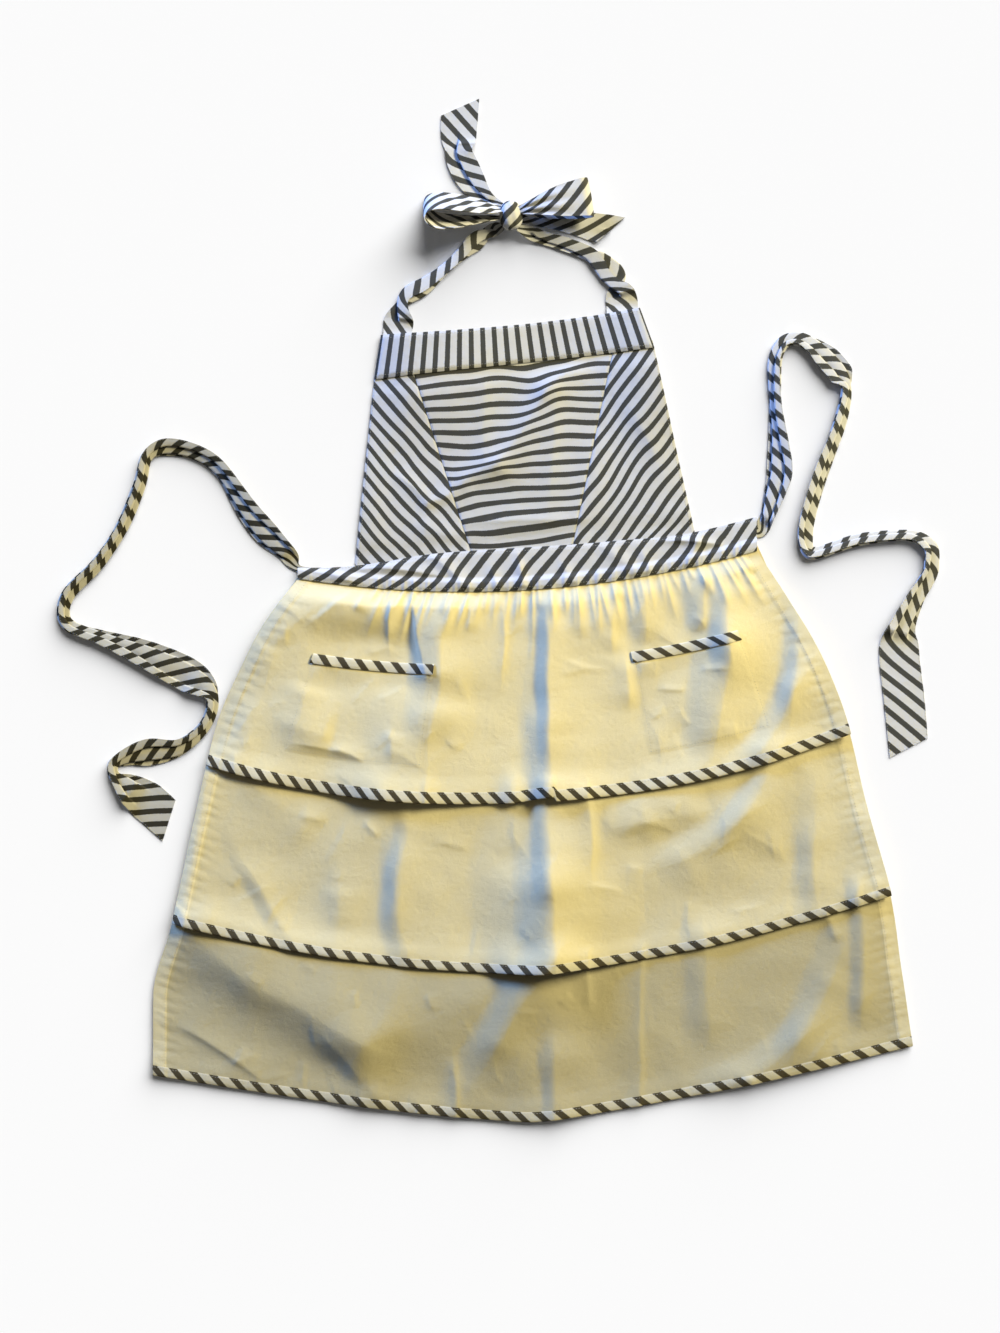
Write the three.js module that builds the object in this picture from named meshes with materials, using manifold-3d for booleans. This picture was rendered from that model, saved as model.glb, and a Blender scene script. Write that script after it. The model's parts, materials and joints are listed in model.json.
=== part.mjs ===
// A pinafore apron laid out face up on a table: a striped bib whose neck straps are tied in a bow, a
// striped waistband with two long ties, and a skirt of three tiers with two patch pockets, every hem
// and pocket mouth bound with striped bias tape.
// Millimetres. The table is z = 0, +Z is up and +Y points to the neck. Every piece is a closed cloth wall.
import * as THREE from "three";
import Module from "manifold-3d";

const CLOTH = 1.2; // thickness of one layer of skirt cloth
const DOUBLE = 1.4; // thickness of the bib, the bands and the ties, which are sewn double
const TAPE = 1; // thickness of the bias tape
const GAP = 0.4; // clearance between neighbouring pieces
const TUCK = 8; // how far a raw edge reaches under the band that covers it
const COLUMNS = 36; // cloth facets across the skirt and the waistband
const SKIRT_LENGTH = 575; // waist seam to lowest hem down the middle
const TAPE_SHARE = 0.022; // tape width as a share of the skirt length, 12.5 mm
const TUCK_SHARE = TUCK / SKIRT_LENGTH;
const HEM_LIFT = TAPE + GAP; // room for the tape that passes under a hem
const LEFT_TUCK = 0.25; // share of the tuck that is left at the turned-under left end of the waist
const LEFT_TUCK_ENDS = 0.15; // share of the way across where the tuck has its full depth

const YELLOW = new THREE.MeshStandardMaterial({ name: "yellow_cotton", color: 0xe6d8a6, roughness: 0.9 });
const STRIPED = new THREE.MeshStandardMaterial({ name: "striped_cotton", color: 0xb9b6aa, roughness: 0.9 });

// Skirt outline. Each row is a line across the skirt at a share of the way down: its two ends, how far
// its middle sags below the straight line between them, and the power that rounds the sag.
const SKIRT_SECTIONS = [
  { down: 0, leftX: -218, leftY: 32, rightX: 277, rightY: 62, sag: 27, round: 2 },
  { down: 0.1, leftX: -255, leftY: -18, rightX: 308, rightY: 14, sag: 35, round: 2 },
  { down: 0.2, leftX: -281, leftY: -68, rightX: 338, rightY: -36, sag: 43, round: 2.1 },
  { down: 0.3, leftX: -303, leftY: -118, rightX: 361, rightY: -86, sag: 50, round: 2.2 },
  { down: 0.4, leftX: -316, leftY: -168, rightX: 377, rightY: -134, sag: 57, round: 2.2 },
  { down: 0.56, leftX: -335, leftY: -253, rightX: 397, rightY: -220, sag: 63, round: 1.9 },
  { down: 0.72, leftX: -353, leftY: -338, rightX: 421, rightY: -308, sag: 68, round: 1.7 },
  { down: 0.86, leftX: -374, leftY: -419, rightX: 433, rightY: -389, sag: 67, round: 1.45 },
  { down: 1, leftX: -374, leftY: -502, rightX: 445, rightY: -471, sag: 66, round: 1.3 },
];

const POCKET_MOUTH = 0.14; // pocket mouth as a share of the way down
const POCKET_ROWS = [POCKET_MOUTH, POCKET_MOUTH + TAPE_SHARE, 0.23, 0.3, 0.335];

// The three layers, each lying on the one before: where its hem is and where its rows of facets run.
const LAYERS = {
  base: {
    hem: 1,
    rows: [-TUCK_SHARE, 0.3, 0.6, 0.72 - TAPE_SHARE, 0.72, 0.78, 0.84, 0.9, 0.95, 1 - TAPE_SHARE, 1],
  },
  middle: {
    under: "base",
    hem: 0.72,
    rows: [-TUCK_SHARE, 0.3, 0.4 - TAPE_SHARE, 0.4, 0.46, 0.53, 0.6, 0.655, 0.72 - TAPE_SHARE, 0.72],
  },
  top: {
    under: "middle",
    hem: 0.4,
    rows: [-TUCK_SHARE, 0, 0.03, 0.065, 0.1, ...POCKET_ROWS, 0.4 - TAPE_SHARE, 0.4],
  },
};

// Folds that run down the cloth: place of the crest across the skirt, its drift to the right by the
// hem, the spread of its left and right flanks as shares of the width, its height, and the shares of
// the way down where it starts to rise and stands in full. Layers above ride over a fold.
const FOLDS = [
  { layer: "base", across: 0.545, drift: 0, left: 0.022, right: 0.09, height: 7, start: 0, full: 0.3 },
  { layer: "base", across: 0.1, drift: 0.02, left: 0.09, right: 0.11, height: 8, start: 0.78, full: 0.95 },
  { layer: "base", across: 0.36, drift: 0.03, left: 0.07, right: 0.04, height: 5, start: 0.72, full: 0.84 },
  { layer: "base", across: 0.67, drift: 0, left: 0.04, right: 0.05, height: 4, start: 0.72, full: 0.84 },
  { layer: "base", across: 0.8, drift: 0.02, left: 0.05, right: 0.03, height: 4, start: 0.72, full: 0.84 },
  { layer: "base", across: 0.95, drift: 0, left: 0.06, right: 0.05, height: 6, start: 0.72, full: 0.9 },
  { layer: "middle", across: 0.12, drift: 0, left: 0.07, right: 0.06, height: 3, start: 0.4, full: 0.53 },
  { layer: "middle", across: 0.3, drift: 0.03, left: 0.06, right: 0.03, height: 5, start: 0.4, full: 0.46 },
  { layer: "middle", across: 0.44, drift: 0, left: 0.06, right: 0.04, height: 3, start: 0.4, full: 0.53 },
  { layer: "middle", across: 0.66, drift: 0, left: 0.04, right: 0.05, height: 3, start: 0.4, full: 0.53 },
  { layer: "middle", across: 0.86, drift: -0.1, left: 0.05, right: 0.06, height: 5, start: 0.4, full: 0.53 },
  { layer: "top", across: 0.08, drift: -0.03, left: 0.05, right: 0.06, height: 4, start: 0, full: 0.15 },
  { layer: "top", across: 0.34, drift: 0, left: 0.04, right: 0.05, height: 4, start: 0, full: 0.15 },
  { layer: "top", across: 0.46, drift: 0, left: 0.04, right: 0.04, height: 3, start: 0, full: 0.15 },
  { layer: "top", across: 0.66, drift: 0.02, left: 0.05, right: 0.03, height: 5, start: 0, full: 0.15 },
  { layer: "top", across: 0.86, drift: 0.05, left: 0.06, right: 0.05, height: 4, start: 0, full: 0.23 },
];

// Height of the waist gathers: flat under the band, puffed out just below it, then dying away.
const GATHERS = [
  { down: -TUCK_SHARE, puff: 0.6 },
  { down: 0, puff: 1 },
  { down: 0.03, puff: 6 },
  { down: 0.065, puff: 6 },
  { down: 0.14, puff: 3 },
  { down: 0.23, puff: 1.8 },
  { down: 0.4, puff: 0.5 },
];
const FIRST_GATHER = 5; // facet column where the gathers start; the cloth left of it is smooth

const GATHER_UNEVEN = 0.25; // share by which neighbouring gathers differ in height
const GATHER_RHYTHM = 2.3; // turn of that unevenness from one facet column to the next, in radians

const POCKETS = [
  { side: "left", firstColumn: 4, lastColumn: 12 },
  { side: "right", firstColumn: 25, lastColumn: 32 },
];

// Waistband height along it. Its left end is turned under, so it is lower there.
const WAISTBAND = [
  { across: 0, height: 12 },
  { across: 0.12, height: 22 },
  { across: 0.3, height: 41 },
  { across: 0.5, height: 46 },
  { across: 0.7, height: 43 },
  { across: 0.86, height: 37 },
  { across: 1, height: 37 },
];
const BAND_REST = DOUBLE + GAP; // underside of a band where it laps one piece that lies on the table
const BAND_CROWN = 0.5; // how far the middle of the waistband stands proud of its edges

// Lines across the bib where its bands cover it, with the two outer edges and the two panel seams.
const BIB_TOP = { left: [-136, 247], seamLeft: [-92, 249.5], seamRight: [121.5, 276.5], right: [166, 280.5] };
const BIB_BOTTOM = { left: [-157, 47.5], seamLeft: [-31.5, 61.5], seamRight: [80, 75], right: [210.5, 82.5] };
const TOP_BAND_UPPER = { left: [-128.5, 295], right: [150.5, 323.5] };
const TOP_BAND_SAG = 4; // how far the middle of the top band's upper edge sags
const TOP_BAND_COLUMNS = 10; // facets along the top band
const BIB_PANELS = [
  { name: "bib_panel_left", from: "left", to: "seamLeft", columns: 4 },
  { name: "bib_panel_center", from: "seamLeft", to: "seamRight", columns: 8 },
  { name: "bib_panel_right", from: "seamRight", to: "right", columns: 4 },
];
const BIB_ROWS = [0.02, 0.15, 0.3, 0.45, 0.6, 0.75, 0.88, 0.97]; // shares of the way down
const BIB_FREE = { from: 0.02, risen: 0.2, falling: 0.8, to: 0.97 }; // where the bands let creases rise

// Soft creases in the bib: two ends of the crest line, its height and its spread.
const BIB_CREASES = [
  { fromX: 74, fromY: 262, toX: -46, toY: 118, height: 4, spread: 12 },
  { fromX: 120, fromY: 190, toX: 40, toY: 90, height: 2.5, spread: 22 },
  { fromX: -110, fromY: 200, toX: -120, toY: 70, height: 2.5, spread: 18 },
  { fromX: 160, fromY: 190, toX: 150, toY: 110, height: 2, spread: 16 },
];

// Ties and straps as they lie. Each row is a place along the middle of the ribbon with the ribbon's
// width there, the slope of its halves in degrees where it is folded lengthwise into a tent, and the
// lean of that tent to the right of its run in degrees.
const WAIST_TIE_LEFT = [
  { x: -203, y: 40.5, wide: 6.5, fold: 0, lean: 0 },
  { x: -220, y: 44.5, wide: 9, fold: 0, lean: 0 },
  { x: -230, y: 60, wide: 28, fold: 53, lean: 0 },
  { x: -252.5, y: 81.5, wide: 42, fold: 57, lean: 4 },
  { x: -273, y: 107, wide: 44, fold: 65, lean: 8 },
  { x: -300, y: 148.5, wide: 44, fold: 78, lean: 4 },
  { x: -325, y: 167, wide: 44, fold: 78, lean: -5 },
  { x: -356.5, y: 174, wide: 44, fold: 75, lean: -8 },
  { x: -380, y: 164.5, wide: 44, fold: 87, lean: -4 },
  { x: -389, y: 132.5, wide: 44, fold: 90, lean: 0 },
  { x: -408, y: 87, wide: 44, fold: 89, lean: 3 },
  { x: -434, y: 48, wide: 44, fold: 87, lean: 4 },
  { x: -463.5, y: 18, wide: 44, fold: 87, lean: 2 },
  { x: -471, y: -4, wide: 44, fold: 90, lean: 0 },
  { x: -462, y: -20, wide: 44, fold: 87, lean: 3 },
  { x: -427.5, y: -32, wide: 44, fold: 78, lean: 8 },
  { x: -382.5, y: -49, wide: 44, fold: 54, lean: 10 },
  { x: -340, y: -70, wide: 44, fold: 37, lean: 8 },
  { x: -317.5, y: -85, wide: 44, fold: 62, lean: 4 },
  { x: -310, y: -102, wide: 44, fold: 90, lean: 0 },
  { x: -319.5, y: -128, wide: 44, fold: 90, lean: -2 },
  { x: -345.5, y: -149.5, wide: 44, fold: 76, lean: -8 },
  { x: -378, y: -155, wide: 44, fold: 55, lean: -8 },
  { x: -403, y: -160.5, wide: 44, fold: 75, lean: -4 },
  { x: -418, y: -170, wide: 44, fold: 90, lean: 0 },
  { x: -415.5, y: -181, wide: 44, fold: 89, lean: 0 },
  { x: -403, y: -191, wide: 44, fold: 58, lean: 0 },
  { x: -390, y: -201, wide: 44, fold: 32, lean: 0 },
  { x: -373.5, y: -214.5, wide: 43, fold: 0, lean: 0 },
  { x: -357.5, y: -229, wide: 42, fold: 0, lean: 0 },
];
const WAIST_TIE_RIGHT = [
  { x: 265.5, y: 85.5, wide: 12, fold: 0, lean: 0 },
  { x: 279, y: 83, wide: 13, fold: 0, lean: 0 },
  { x: 287.5, y: 97.5, wide: 24, fold: 58, lean: 0 },
  { x: 295, y: 119.5, wide: 38, fold: 65, lean: -4 },
  { x: 301.5, y: 149.5, wide: 44, fold: 59, lean: -10 },
  { x: 300, y: 182, wide: 44, fold: 71, lean: -8 },
  { x: 297, y: 220, wide: 44, fold: 84, lean: -4 },
  { x: 296, y: 259.5, wide: 44, fold: 87, lean: 0 },
  { x: 303.5, y: 284.5, wide: 44, fold: 89, lean: 0 },
  { x: 319.5, y: 291, wide: 44, fold: 87, lean: 0 },
  { x: 337, y: 283.5, wide: 44, fold: 75, lean: 6 },
  { x: 355.5, y: 267.5, wide: 44, fold: 57, lean: 10 },
  { x: 367, y: 253.5, wide: 44, fold: 57, lean: 8 },
  { x: 373.5, y: 235, wide: 44, fold: 90, lean: 0 },
  { x: 365, y: 195, wide: 44, fold: 84, lean: -4 },
  { x: 344.5, y: 141, wide: 44, fold: 78, lean: -8 },
  { x: 331.5, y: 95.5, wide: 44, fold: 78, lean: -6 },
  { x: 329.5, y: 74, wide: 44, fold: 80, lean: -4 },
  { x: 335, y: 59.5, wide: 44, fold: 90, lean: 0 },
  { x: 349, y: 62, wide: 44, fold: 90, lean: 0 },
  { x: 389, y: 74.5, wide: 44, fold: 90, lean: 2 },
  { x: 437.5, y: 79, wide: 44, fold: 90, lean: 2 },
  { x: 463.5, y: 67.5, wide: 44, fold: 80, lean: 4 },
  { x: 465.5, y: 45, wide: 44, fold: 80, lean: 4 },
  { x: 447, y: 9, wide: 44, fold: 71, lean: 8 },
  { x: 434, y: -20, wide: 44, fold: 53, lean: 8 },
  { x: 431, y: -46, wide: 44, fold: 12, lean: 0 },
  { x: 436.5, y: -99, wide: 44, fold: 0, lean: 0 },
  { x: 441.5, y: -150.5, wide: 43, fold: 0, lean: 0 },
];
const NECK_TIE_LEFT = [
  { x: -111, y: 286.5, wide: 30, fold: 0, lean: 0 },
  { x: -110.5, y: 301, wide: 31, fold: 0, lean: 0 },
  { x: -107, y: 323.5, wide: 38, fold: 69, lean: -10 },
  { x: -99.5, y: 337.5, wide: 38, fold: 89, lean: -4 },
  { x: -78.5, y: 350.5, wide: 38, fold: 84, lean: -6 },
  { x: -45.5, y: 379, wide: 38, fold: 84, lean: -6 },
  { x: -17.5, y: 403, wide: 30, fold: 79, lean: -2 },
  { x: 3, y: 412, wide: 8, fold: 0, lean: 0 },
];
const NECK_TIE_RIGHT = [
  { x: 132, y: 312.5, wide: 34, fold: 0, lean: 0 },
  { x: 132, y: 326.5, wide: 34, fold: 0, lean: 0 },
  { x: 126.5, y: 348.5, wide: 38, fold: 63, lean: 8 },
  { x: 120, y: 362.5, wide: 38, fold: 87, lean: 2 },
  { x: 99.5, y: 380.5, wide: 38, fold: 78, lean: 6 },
  { x: 71.5, y: 392.5, wide: 36, fold: 75, lean: 6 },
  { x: 44.5, y: 400.5, wide: 24, fold: 62, lean: 4 },
  { x: 19.5, y: 410, wide: 8, fold: 0, lean: 0 },
];
const BOW_TAIL_UPPER = [
  { x: 5, y: 430, wide: 8, fold: 0, lean: 0 },
  { x: -14, y: 442.5, wide: 20, fold: 47, lean: 0 },
  { x: -29, y: 459.5, wide: 36, fold: 44, lean: 6 },
  { x: -39, y: 477, wide: 40, fold: 43, lean: 8 },
  { x: -44.5, y: 493, wide: 40, fold: 49, lean: -4 },
  { x: -44.5, y: 508, wide: 40, fold: 22, lean: -2 },
  { x: -43, y: 541.5, wide: 40, fold: 0, lean: 0 },
];
const BOW_TAIL_SIDE = [
  { x: 19.5, y: 420.5, wide: 8, fold: 0, lean: 0 },
  { x: 39, y: 421, wide: 16, fold: 0, lean: 0 },
  { x: 65, y: 419, wide: 22, fold: 0, lean: 0 },
  { x: 92, y: 414, wide: 28, fold: 0, lean: 0 },
  { x: 120, y: 409, wide: 36, fold: 33, lean: 6 },
];
const TENT_ROUNDING = 0.18; // share of the half width over which the crest of a tent fold is rounded
const SECTION_STEPS = 24; // steps used to add up a ribbon's section
const RIBBON_COLUMNS = 3; // facets across a ribbon
const RIBBON_END = 1.2; // rows over which a ribbon's end turns into its cut
const RIBBON_LOOK = 0.05; // share of a row that is looked ahead and back to find a ribbon's run
const TABLE_GAP = 0.1; // clearance between a ribbon and the table

// Bow loops: the middle line of the ribbon with its width. Across its width the ribbon runs along one
// fixed direction: level for the right loop, steeply leaning for the left one, which shows its inside.
const BOW_LOOP_RIGHT = {
  direction: [-0.17, 0.985, 0],
  path: [
    { x: 20, y: 427, z: 16, wide: 8 },
    { x: 40, y: 431, z: 21, wide: 20 },
    { x: 64, y: 435.5, z: 24, wide: 33 },
    { x: 88, y: 439.5, z: 24, wide: 40 },
    { x: 97, y: 441, z: 16.5, wide: 42 },
    { x: 89, y: 439.5, z: 8.5, wide: 40 },
    { x: 64, y: 435.5, z: 6, wide: 32 },
    { x: 40, y: 431, z: 6.5, wide: 20 },
    { x: 20, y: 427, z: 7.5, wide: 8 },
  ],
};
const BOW_LOOP_LEFT = {
  direction: [0.04, -0.5, 0.865],
  path: [
    { x: 3, y: 428, z: 14, wide: 8 },
    { x: -16, y: 431, z: 16, wide: 22 },
    { x: -41, y: 434.5, z: 18.5, wide: 36 },
    { x: -63, y: 437.5, z: 20, wide: 42 },
    { x: -77, y: 434, z: 20.5, wide: 43 },
    { x: -81, y: 426, z: 20.5, wide: 43 },
    { x: -75, y: 417, z: 20.5, wide: 43 },
    { x: -60, y: 412, z: 20, wide: 42 },
    { x: -39, y: 414, z: 17.5, wide: 33 },
    { x: -16, y: 418, z: 13, wide: 20 },
    { x: 3, y: 421, z: 9, wide: 8 },
  ],
};
// The knot: its middle, its half sizes, its facets and the soft ridges round it.
const KNOT = { x: 11.3, y: 422, z: 11, halfX: 12, halfY: 15.5, halfZ: 10.5 };
const KNOT_FACETS = { rings: 6, segments: 12 };
const KNOT_RIDGES = { count: 3, height: 0.06 };

const { clamp, lerp, smoothstep, degToRad } = THREE.MathUtils;

// All columns of a table at a value of one of them, on a smooth curve through its rows that never
// runs past them: its slope at a row is the mean of the slopes beside it, or none where they disagree.
function columnsAt(rows, key, value) {
  const last = rows.length - 1;
  let row = 0;
  while (row < last - 1 && value > rows[row + 1][key]) {
    row += 1;
  }
  const share = clamp((value - rows[row][key]) / (rows[row + 1][key] - rows[row][key]), 0, 1);
  const before = rows[Math.max(row - 1, 0)];
  const after = rows[Math.min(row + 2, last)];
  const slope = (first, second) => (first * second > 0 ? (first + second) / 2 : 0);
  const result = {};
  for (const name of Object.keys(rows[row])) {
    const a = rows[row][name];
    const b = rows[row + 1][name];
    const enter = row > 0 ? slope(a - before[name], b - a) : b - a;
    const leave = row + 2 <= last ? slope(b - a, after[name] - b) : b - a;
    const t2 = share * share;
    const t3 = t2 * share;
    result[name] =
      (2 * t3 - 3 * t2 + 1) * a + (t3 - 2 * t2 + share) * enter + (3 * t2 - 2 * t3) * b + (t3 - t2) * leave;
  }
  return result;
}

// A closed wall between a front and a back grid of points with the same rows and columns.
function wall(front, back) {
  const rows = front.length;
  const columns = front[0].length;
  const index = (side, row, column) => (side * rows + row) * columns + column;
  const triangles = [];
  const quad = (a, b, c, d) => triangles.push(a, b, c, a, c, d);
  for (let row = 0; row + 1 < rows; row += 1) {
    for (let column = 0; column + 1 < columns; column += 1) {
      const corners = (side) => [
        index(side, row, column),
        index(side, row + 1, column),
        index(side, row + 1, column + 1),
        index(side, row, column + 1),
      ];
      const [a, b, c, d] = corners(1);
      quad(...corners(0));
      quad(a, d, c, b);
    }
  }
  for (let row = 0; row + 1 < rows; row += 1) {
    const end = columns - 1;
    quad(index(0, row, 0), index(1, row, 0), index(1, row + 1, 0), index(0, row + 1, 0));
    quad(index(0, row, end), index(0, row + 1, end), index(1, row + 1, end), index(1, row, end));
  }
  for (let column = 0; column + 1 < columns; column += 1) {
    const end = rows - 1;
    quad(index(0, 0, column), index(0, 0, column + 1), index(1, 0, column + 1), index(1, 0, column));
    quad(index(0, end, column), index(1, end, column), index(1, end, column + 1), index(0, end, column + 1));
  }
  return closedGeometry([...front.flat(), ...back.flat()], triangles);
}

// A geometry from points and triangles, turned so that its faces look outwards.
function closedGeometry(points, triangles) {
  let volume = 0;
  const cross = new THREE.Vector3();
  for (let i = 0; i < triangles.length; i += 3) {
    cross.crossVectors(points[triangles[i + 1]], points[triangles[i + 2]]);
    volume += points[triangles[i]].dot(cross);
  }
  if (volume < 0) {
    triangles.reverse();
  }
  const geometry = new THREE.BufferGeometry().setFromPoints(points);
  geometry.setIndex(triangles);
  geometry.computeVertexNormals();
  return geometry;
}

// A wall of even thickness about a grid of points in its middle surface.
function sheet(grid, thickness) {
  const lastRow = grid.length - 1;
  const lastColumn = grid[0].length - 1;
  const offset = (side) =>
    grid.map((line, row) =>
      line.map((point, column) => {
        const down = grid[Math.min(row + 1, lastRow)][column].clone().sub(grid[Math.max(row - 1, 0)][column]);
        const across = line[Math.min(column + 1, lastColumn)].clone().sub(line[Math.max(column - 1, 0)]);
        return point.clone().addScaledVector(down.cross(across).normalize(), (side * thickness) / 2);
      }),
    );
  return wall(offset(1), offset(-1));
}

// The same wall grown by the clearance on every side, used to cut room for it.
function roomFor(grid) {
  const stretched = (line) => {
    const last = line.length - 1;
    const result = line.map((point) => point.clone());
    result[0].addScaledVector(line[0].clone().sub(line[1]).normalize(), GAP);
    result[last].addScaledVector(line[last].clone().sub(line[last - 1]).normalize(), GAP);
    return result;
  };
  const wide = grid.map(stretched);
  const columns = wide[0].map((_, column) => stretched(wide.map((line) => line[column])));
  const grown = wide.map((_, row) => columns.map((column) => column[row]));
  return sheet(grown, DOUBLE + 2 * GAP);
}

// Skirt

function skirtPoint(across, down) {
  const section = columnsAt(SKIRT_SECTIONS, "down", down);
  const drop = section.sag * (1 - Math.abs(2 * across - 1) ** section.round);
  const tuckShare = lerp(LEFT_TUCK, 1, smoothstep(across, 0, LEFT_TUCK_ENDS));
  const hidden = Math.max(-down, 0) * SKIRT_LENGTH * tuckShare;
  const x = lerp(section.leftX, section.rightX, across);
  const y = lerp(section.leftY, section.rightY, across) - drop + hidden;
  return new THREE.Vector3(x, y, 0);
}

// Height added by the folds of one layer: each is a crest with a bell-shaped flank on either side.
function foldHeight(layer, across, down) {
  let height = 0;
  for (const fold of FOLDS.filter((row) => row.layer === layer)) {
    const risen = clamp((down - fold.start) / (fold.full - fold.start), 0, 1);
    const away = across - fold.across - fold.drift * risen;
    const spread = away < 0 ? fold.left : fold.right;
    height += fold.height * risen * Math.exp(-((away / spread) ** 2));
  }
  return height;
}

// Gathers stand up on every other facet column.
function gatherHeight(across, down) {
  const column = Math.round(across * COLUMNS);
  const raised = column % 2 === 1 && column >= FIRST_GATHER ? 1 : 0;
  const uneven = 1 - GATHER_UNEVEN * (1 - Math.sin(column * GATHER_RHYTHM));
  return raised * uneven * columnsAt(GATHERS, "down", down).puff;
}

// Height of the underside of a layer above the table.
function undersideZ(name, across, down) {
  const layer = LAYERS[name];
  const support = layer.under ? undersideZ(layer.under, across, down) + CLOTH + GAP : 0;
  const lift = HEM_LIFT * smoothstep(down, layer.hem - 3 * TAPE_SHARE, layer.hem - TAPE_SHARE);
  const gather = name === "top" ? gatherHeight(across, down) : 0;
  return support + foldHeight(name, across, down) + lift + gather;
}

function layerPoint(name, column, down, above) {
  const across = column / COLUMNS;
  const point = skirtPoint(across, down);
  point.z = undersideZ(name, across, down) + above;
  return point;
}

function skirtLayer(name) {
  const grid = (above) =>
    LAYERS[name].rows.map((down) =>
      Array.from({ length: COLUMNS + 1 }, (_, column) => layerPoint(name, column, down, above)),
    );
  return wall(grid(CLOTH), grid(0));
}

// Tape folded round a cloth edge. Each station gives the cloth's underside at the edge and at the far
// side of the tape, and the tape runs down the face, round the edge and up the back.
function foldedTape(stations) {
  const inside = [];
  const outside = [];
  for (const { edge, far } of stations) {
    const out = edge.clone().sub(far).setZ(0).normalize();
    const corner = (place, beyond, z) => place.clone().addScaledVector(out, beyond).setZ(place.z + z);
    inside.push([
      corner(far, 0, CLOTH + GAP),
      corner(edge, GAP, CLOTH + GAP),
      corner(edge, GAP, -GAP),
      corner(far, 0, -GAP),
    ]);
    outside.push([
      corner(far, 0, CLOTH + GAP + TAPE),
      corner(edge, GAP + TAPE, CLOTH + GAP + TAPE),
      corner(edge, GAP + TAPE, -GAP - TAPE),
      corner(far, 0, -GAP - TAPE),
    ]);
  }
  return wall(outside, inside);
}

function hemTape(name) {
  const hem = LAYERS[name].hem;
  const stations = Array.from({ length: COLUMNS + 1 }, (_, column) => ({
    edge: layerPoint(name, column, hem, 0),
    far: layerPoint(name, column, hem - TAPE_SHARE, 0),
  }));
  return foldedTape(stations);
}

// Pockets

// A pocket lies on the top tier and gapes a little at its mouth to make room for the tape.
function pocketPoint(column, down, above) {
  const mouth = POCKET_ROWS[0];
  const gape = HEM_LIFT * (1 - smoothstep(down, mouth + TAPE_SHARE, mouth + 3 * TAPE_SHARE));
  return layerPoint("top", column, down, CLOTH + GAP + gape + above);
}

function pocket({ firstColumn, lastColumn }) {
  const length = lastColumn - firstColumn + 1;
  const grid = (above) =>
    POCKET_ROWS.map((down) => Array.from({ length }, (_, i) => pocketPoint(firstColumn + i, down, above)));
  return wall(grid(CLOTH), grid(0));
}

function pocketTape({ firstColumn, lastColumn }) {
  const stations = Array.from({ length: lastColumn - firstColumn + 1 }, (_, i) => ({
    edge: pocketPoint(firstColumn + i, POCKET_ROWS[0], 0),
    far: pocketPoint(firstColumn + i, POCKET_ROWS[1], 0),
  }));
  return foldedTape(stations);
}

// Waistband and bib

// The band laps the gathered skirt along its lower edge and the bib along its upper edge.
function waistband() {
  const stationRows = (column) => {
    const across = column / COLUMNS;
    const { height } = columnsAt(WAISTBAND, "across", across);
    const seam = layerPoint("top", column, 0, CLOTH + GAP);
    const raw = layerPoint("top", column, -TUCK_SHARE, CLOTH + GAP);
    const upper = seam.clone();
    upper.y += height;
    upper.z = BAND_REST;
    const middle = raw.clone().lerp(upper, 0.5);
    middle.z += BAND_CROWN;
    return [upper, middle, raw, seam];
  };
  const stations = Array.from({ length: COLUMNS + 1 }, (_, column) => stationRows(column));
  const back = [0, 1, 2, 3].map((row) => stations.map((station) => station[row]));
  const raised = (point) => point.clone().setZ(point.z + DOUBLE);
  return wall(back.map((line) => line.map(raised)), back);
}

function bibHeight(x, y, down) {
  let height = 0;
  for (const crease of BIB_CREASES) {
    const line = new THREE.Line3(
      new THREE.Vector3(crease.fromX, crease.fromY, 0),
      new THREE.Vector3(crease.toX, crease.toY, 0),
    );
    const place = new THREE.Vector3(x, y, 0);
    const away = line.closestPointToPoint(place, true, new THREE.Vector3()).distanceTo(place);
    height += crease.height * Math.exp(-((away / crease.spread) ** 2));
  }
  const risen = smoothstep(down, BIB_FREE.from, BIB_FREE.risen);
  const fallen = smoothstep(down, BIB_FREE.falling, BIB_FREE.to);
  return height * risen * (1 - fallen);
}

function bibPanel({ from, to, columns }) {
  const length = new THREE.Vector2(...BIB_TOP.left).distanceTo(new THREE.Vector2(...BIB_BOTTOM.left));
  const grid = (above) =>
    [-TUCK / length, ...BIB_ROWS, 1 + TUCK / length].map((down) => {
      const edge = (name) => [0, 1].map((axis) => lerp(BIB_TOP[name][axis], BIB_BOTTOM[name][axis], down));
      const [leftX, leftY] = edge(from);
      const [rightX, rightY] = edge(to);
      return Array.from({ length: columns + 1 }, (_, column) => {
        const across = column / columns;
        const x = lerp(leftX + GAP / 2, rightX - GAP / 2, across);
        const y = lerp(leftY, rightY, across);
        return new THREE.Vector3(x, y, bibHeight(x, y, down) + above);
      });
    });
  return wall(grid(DOUBLE), grid(0));
}

function topBand() {
  const line = (edges, sag, z) =>
    Array.from({ length: TOP_BAND_COLUMNS + 1 }, (_, column) => {
      const across = column / TOP_BAND_COLUMNS;
      const x = lerp(edges.left[0], edges.right[0], across);
      const y = lerp(edges.left[1], edges.right[1], across) - sag * (1 - (2 * across - 1) ** 2);
      return new THREE.Vector3(x, y, z);
    });
  const grid = (z) => [line(TOP_BAND_UPPER, TOP_BAND_SAG, z), line(BIB_TOP, 0, z)];
  return wall(grid(BAND_REST + DOUBLE), grid(BAND_REST));
}

// Ribbons

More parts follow.
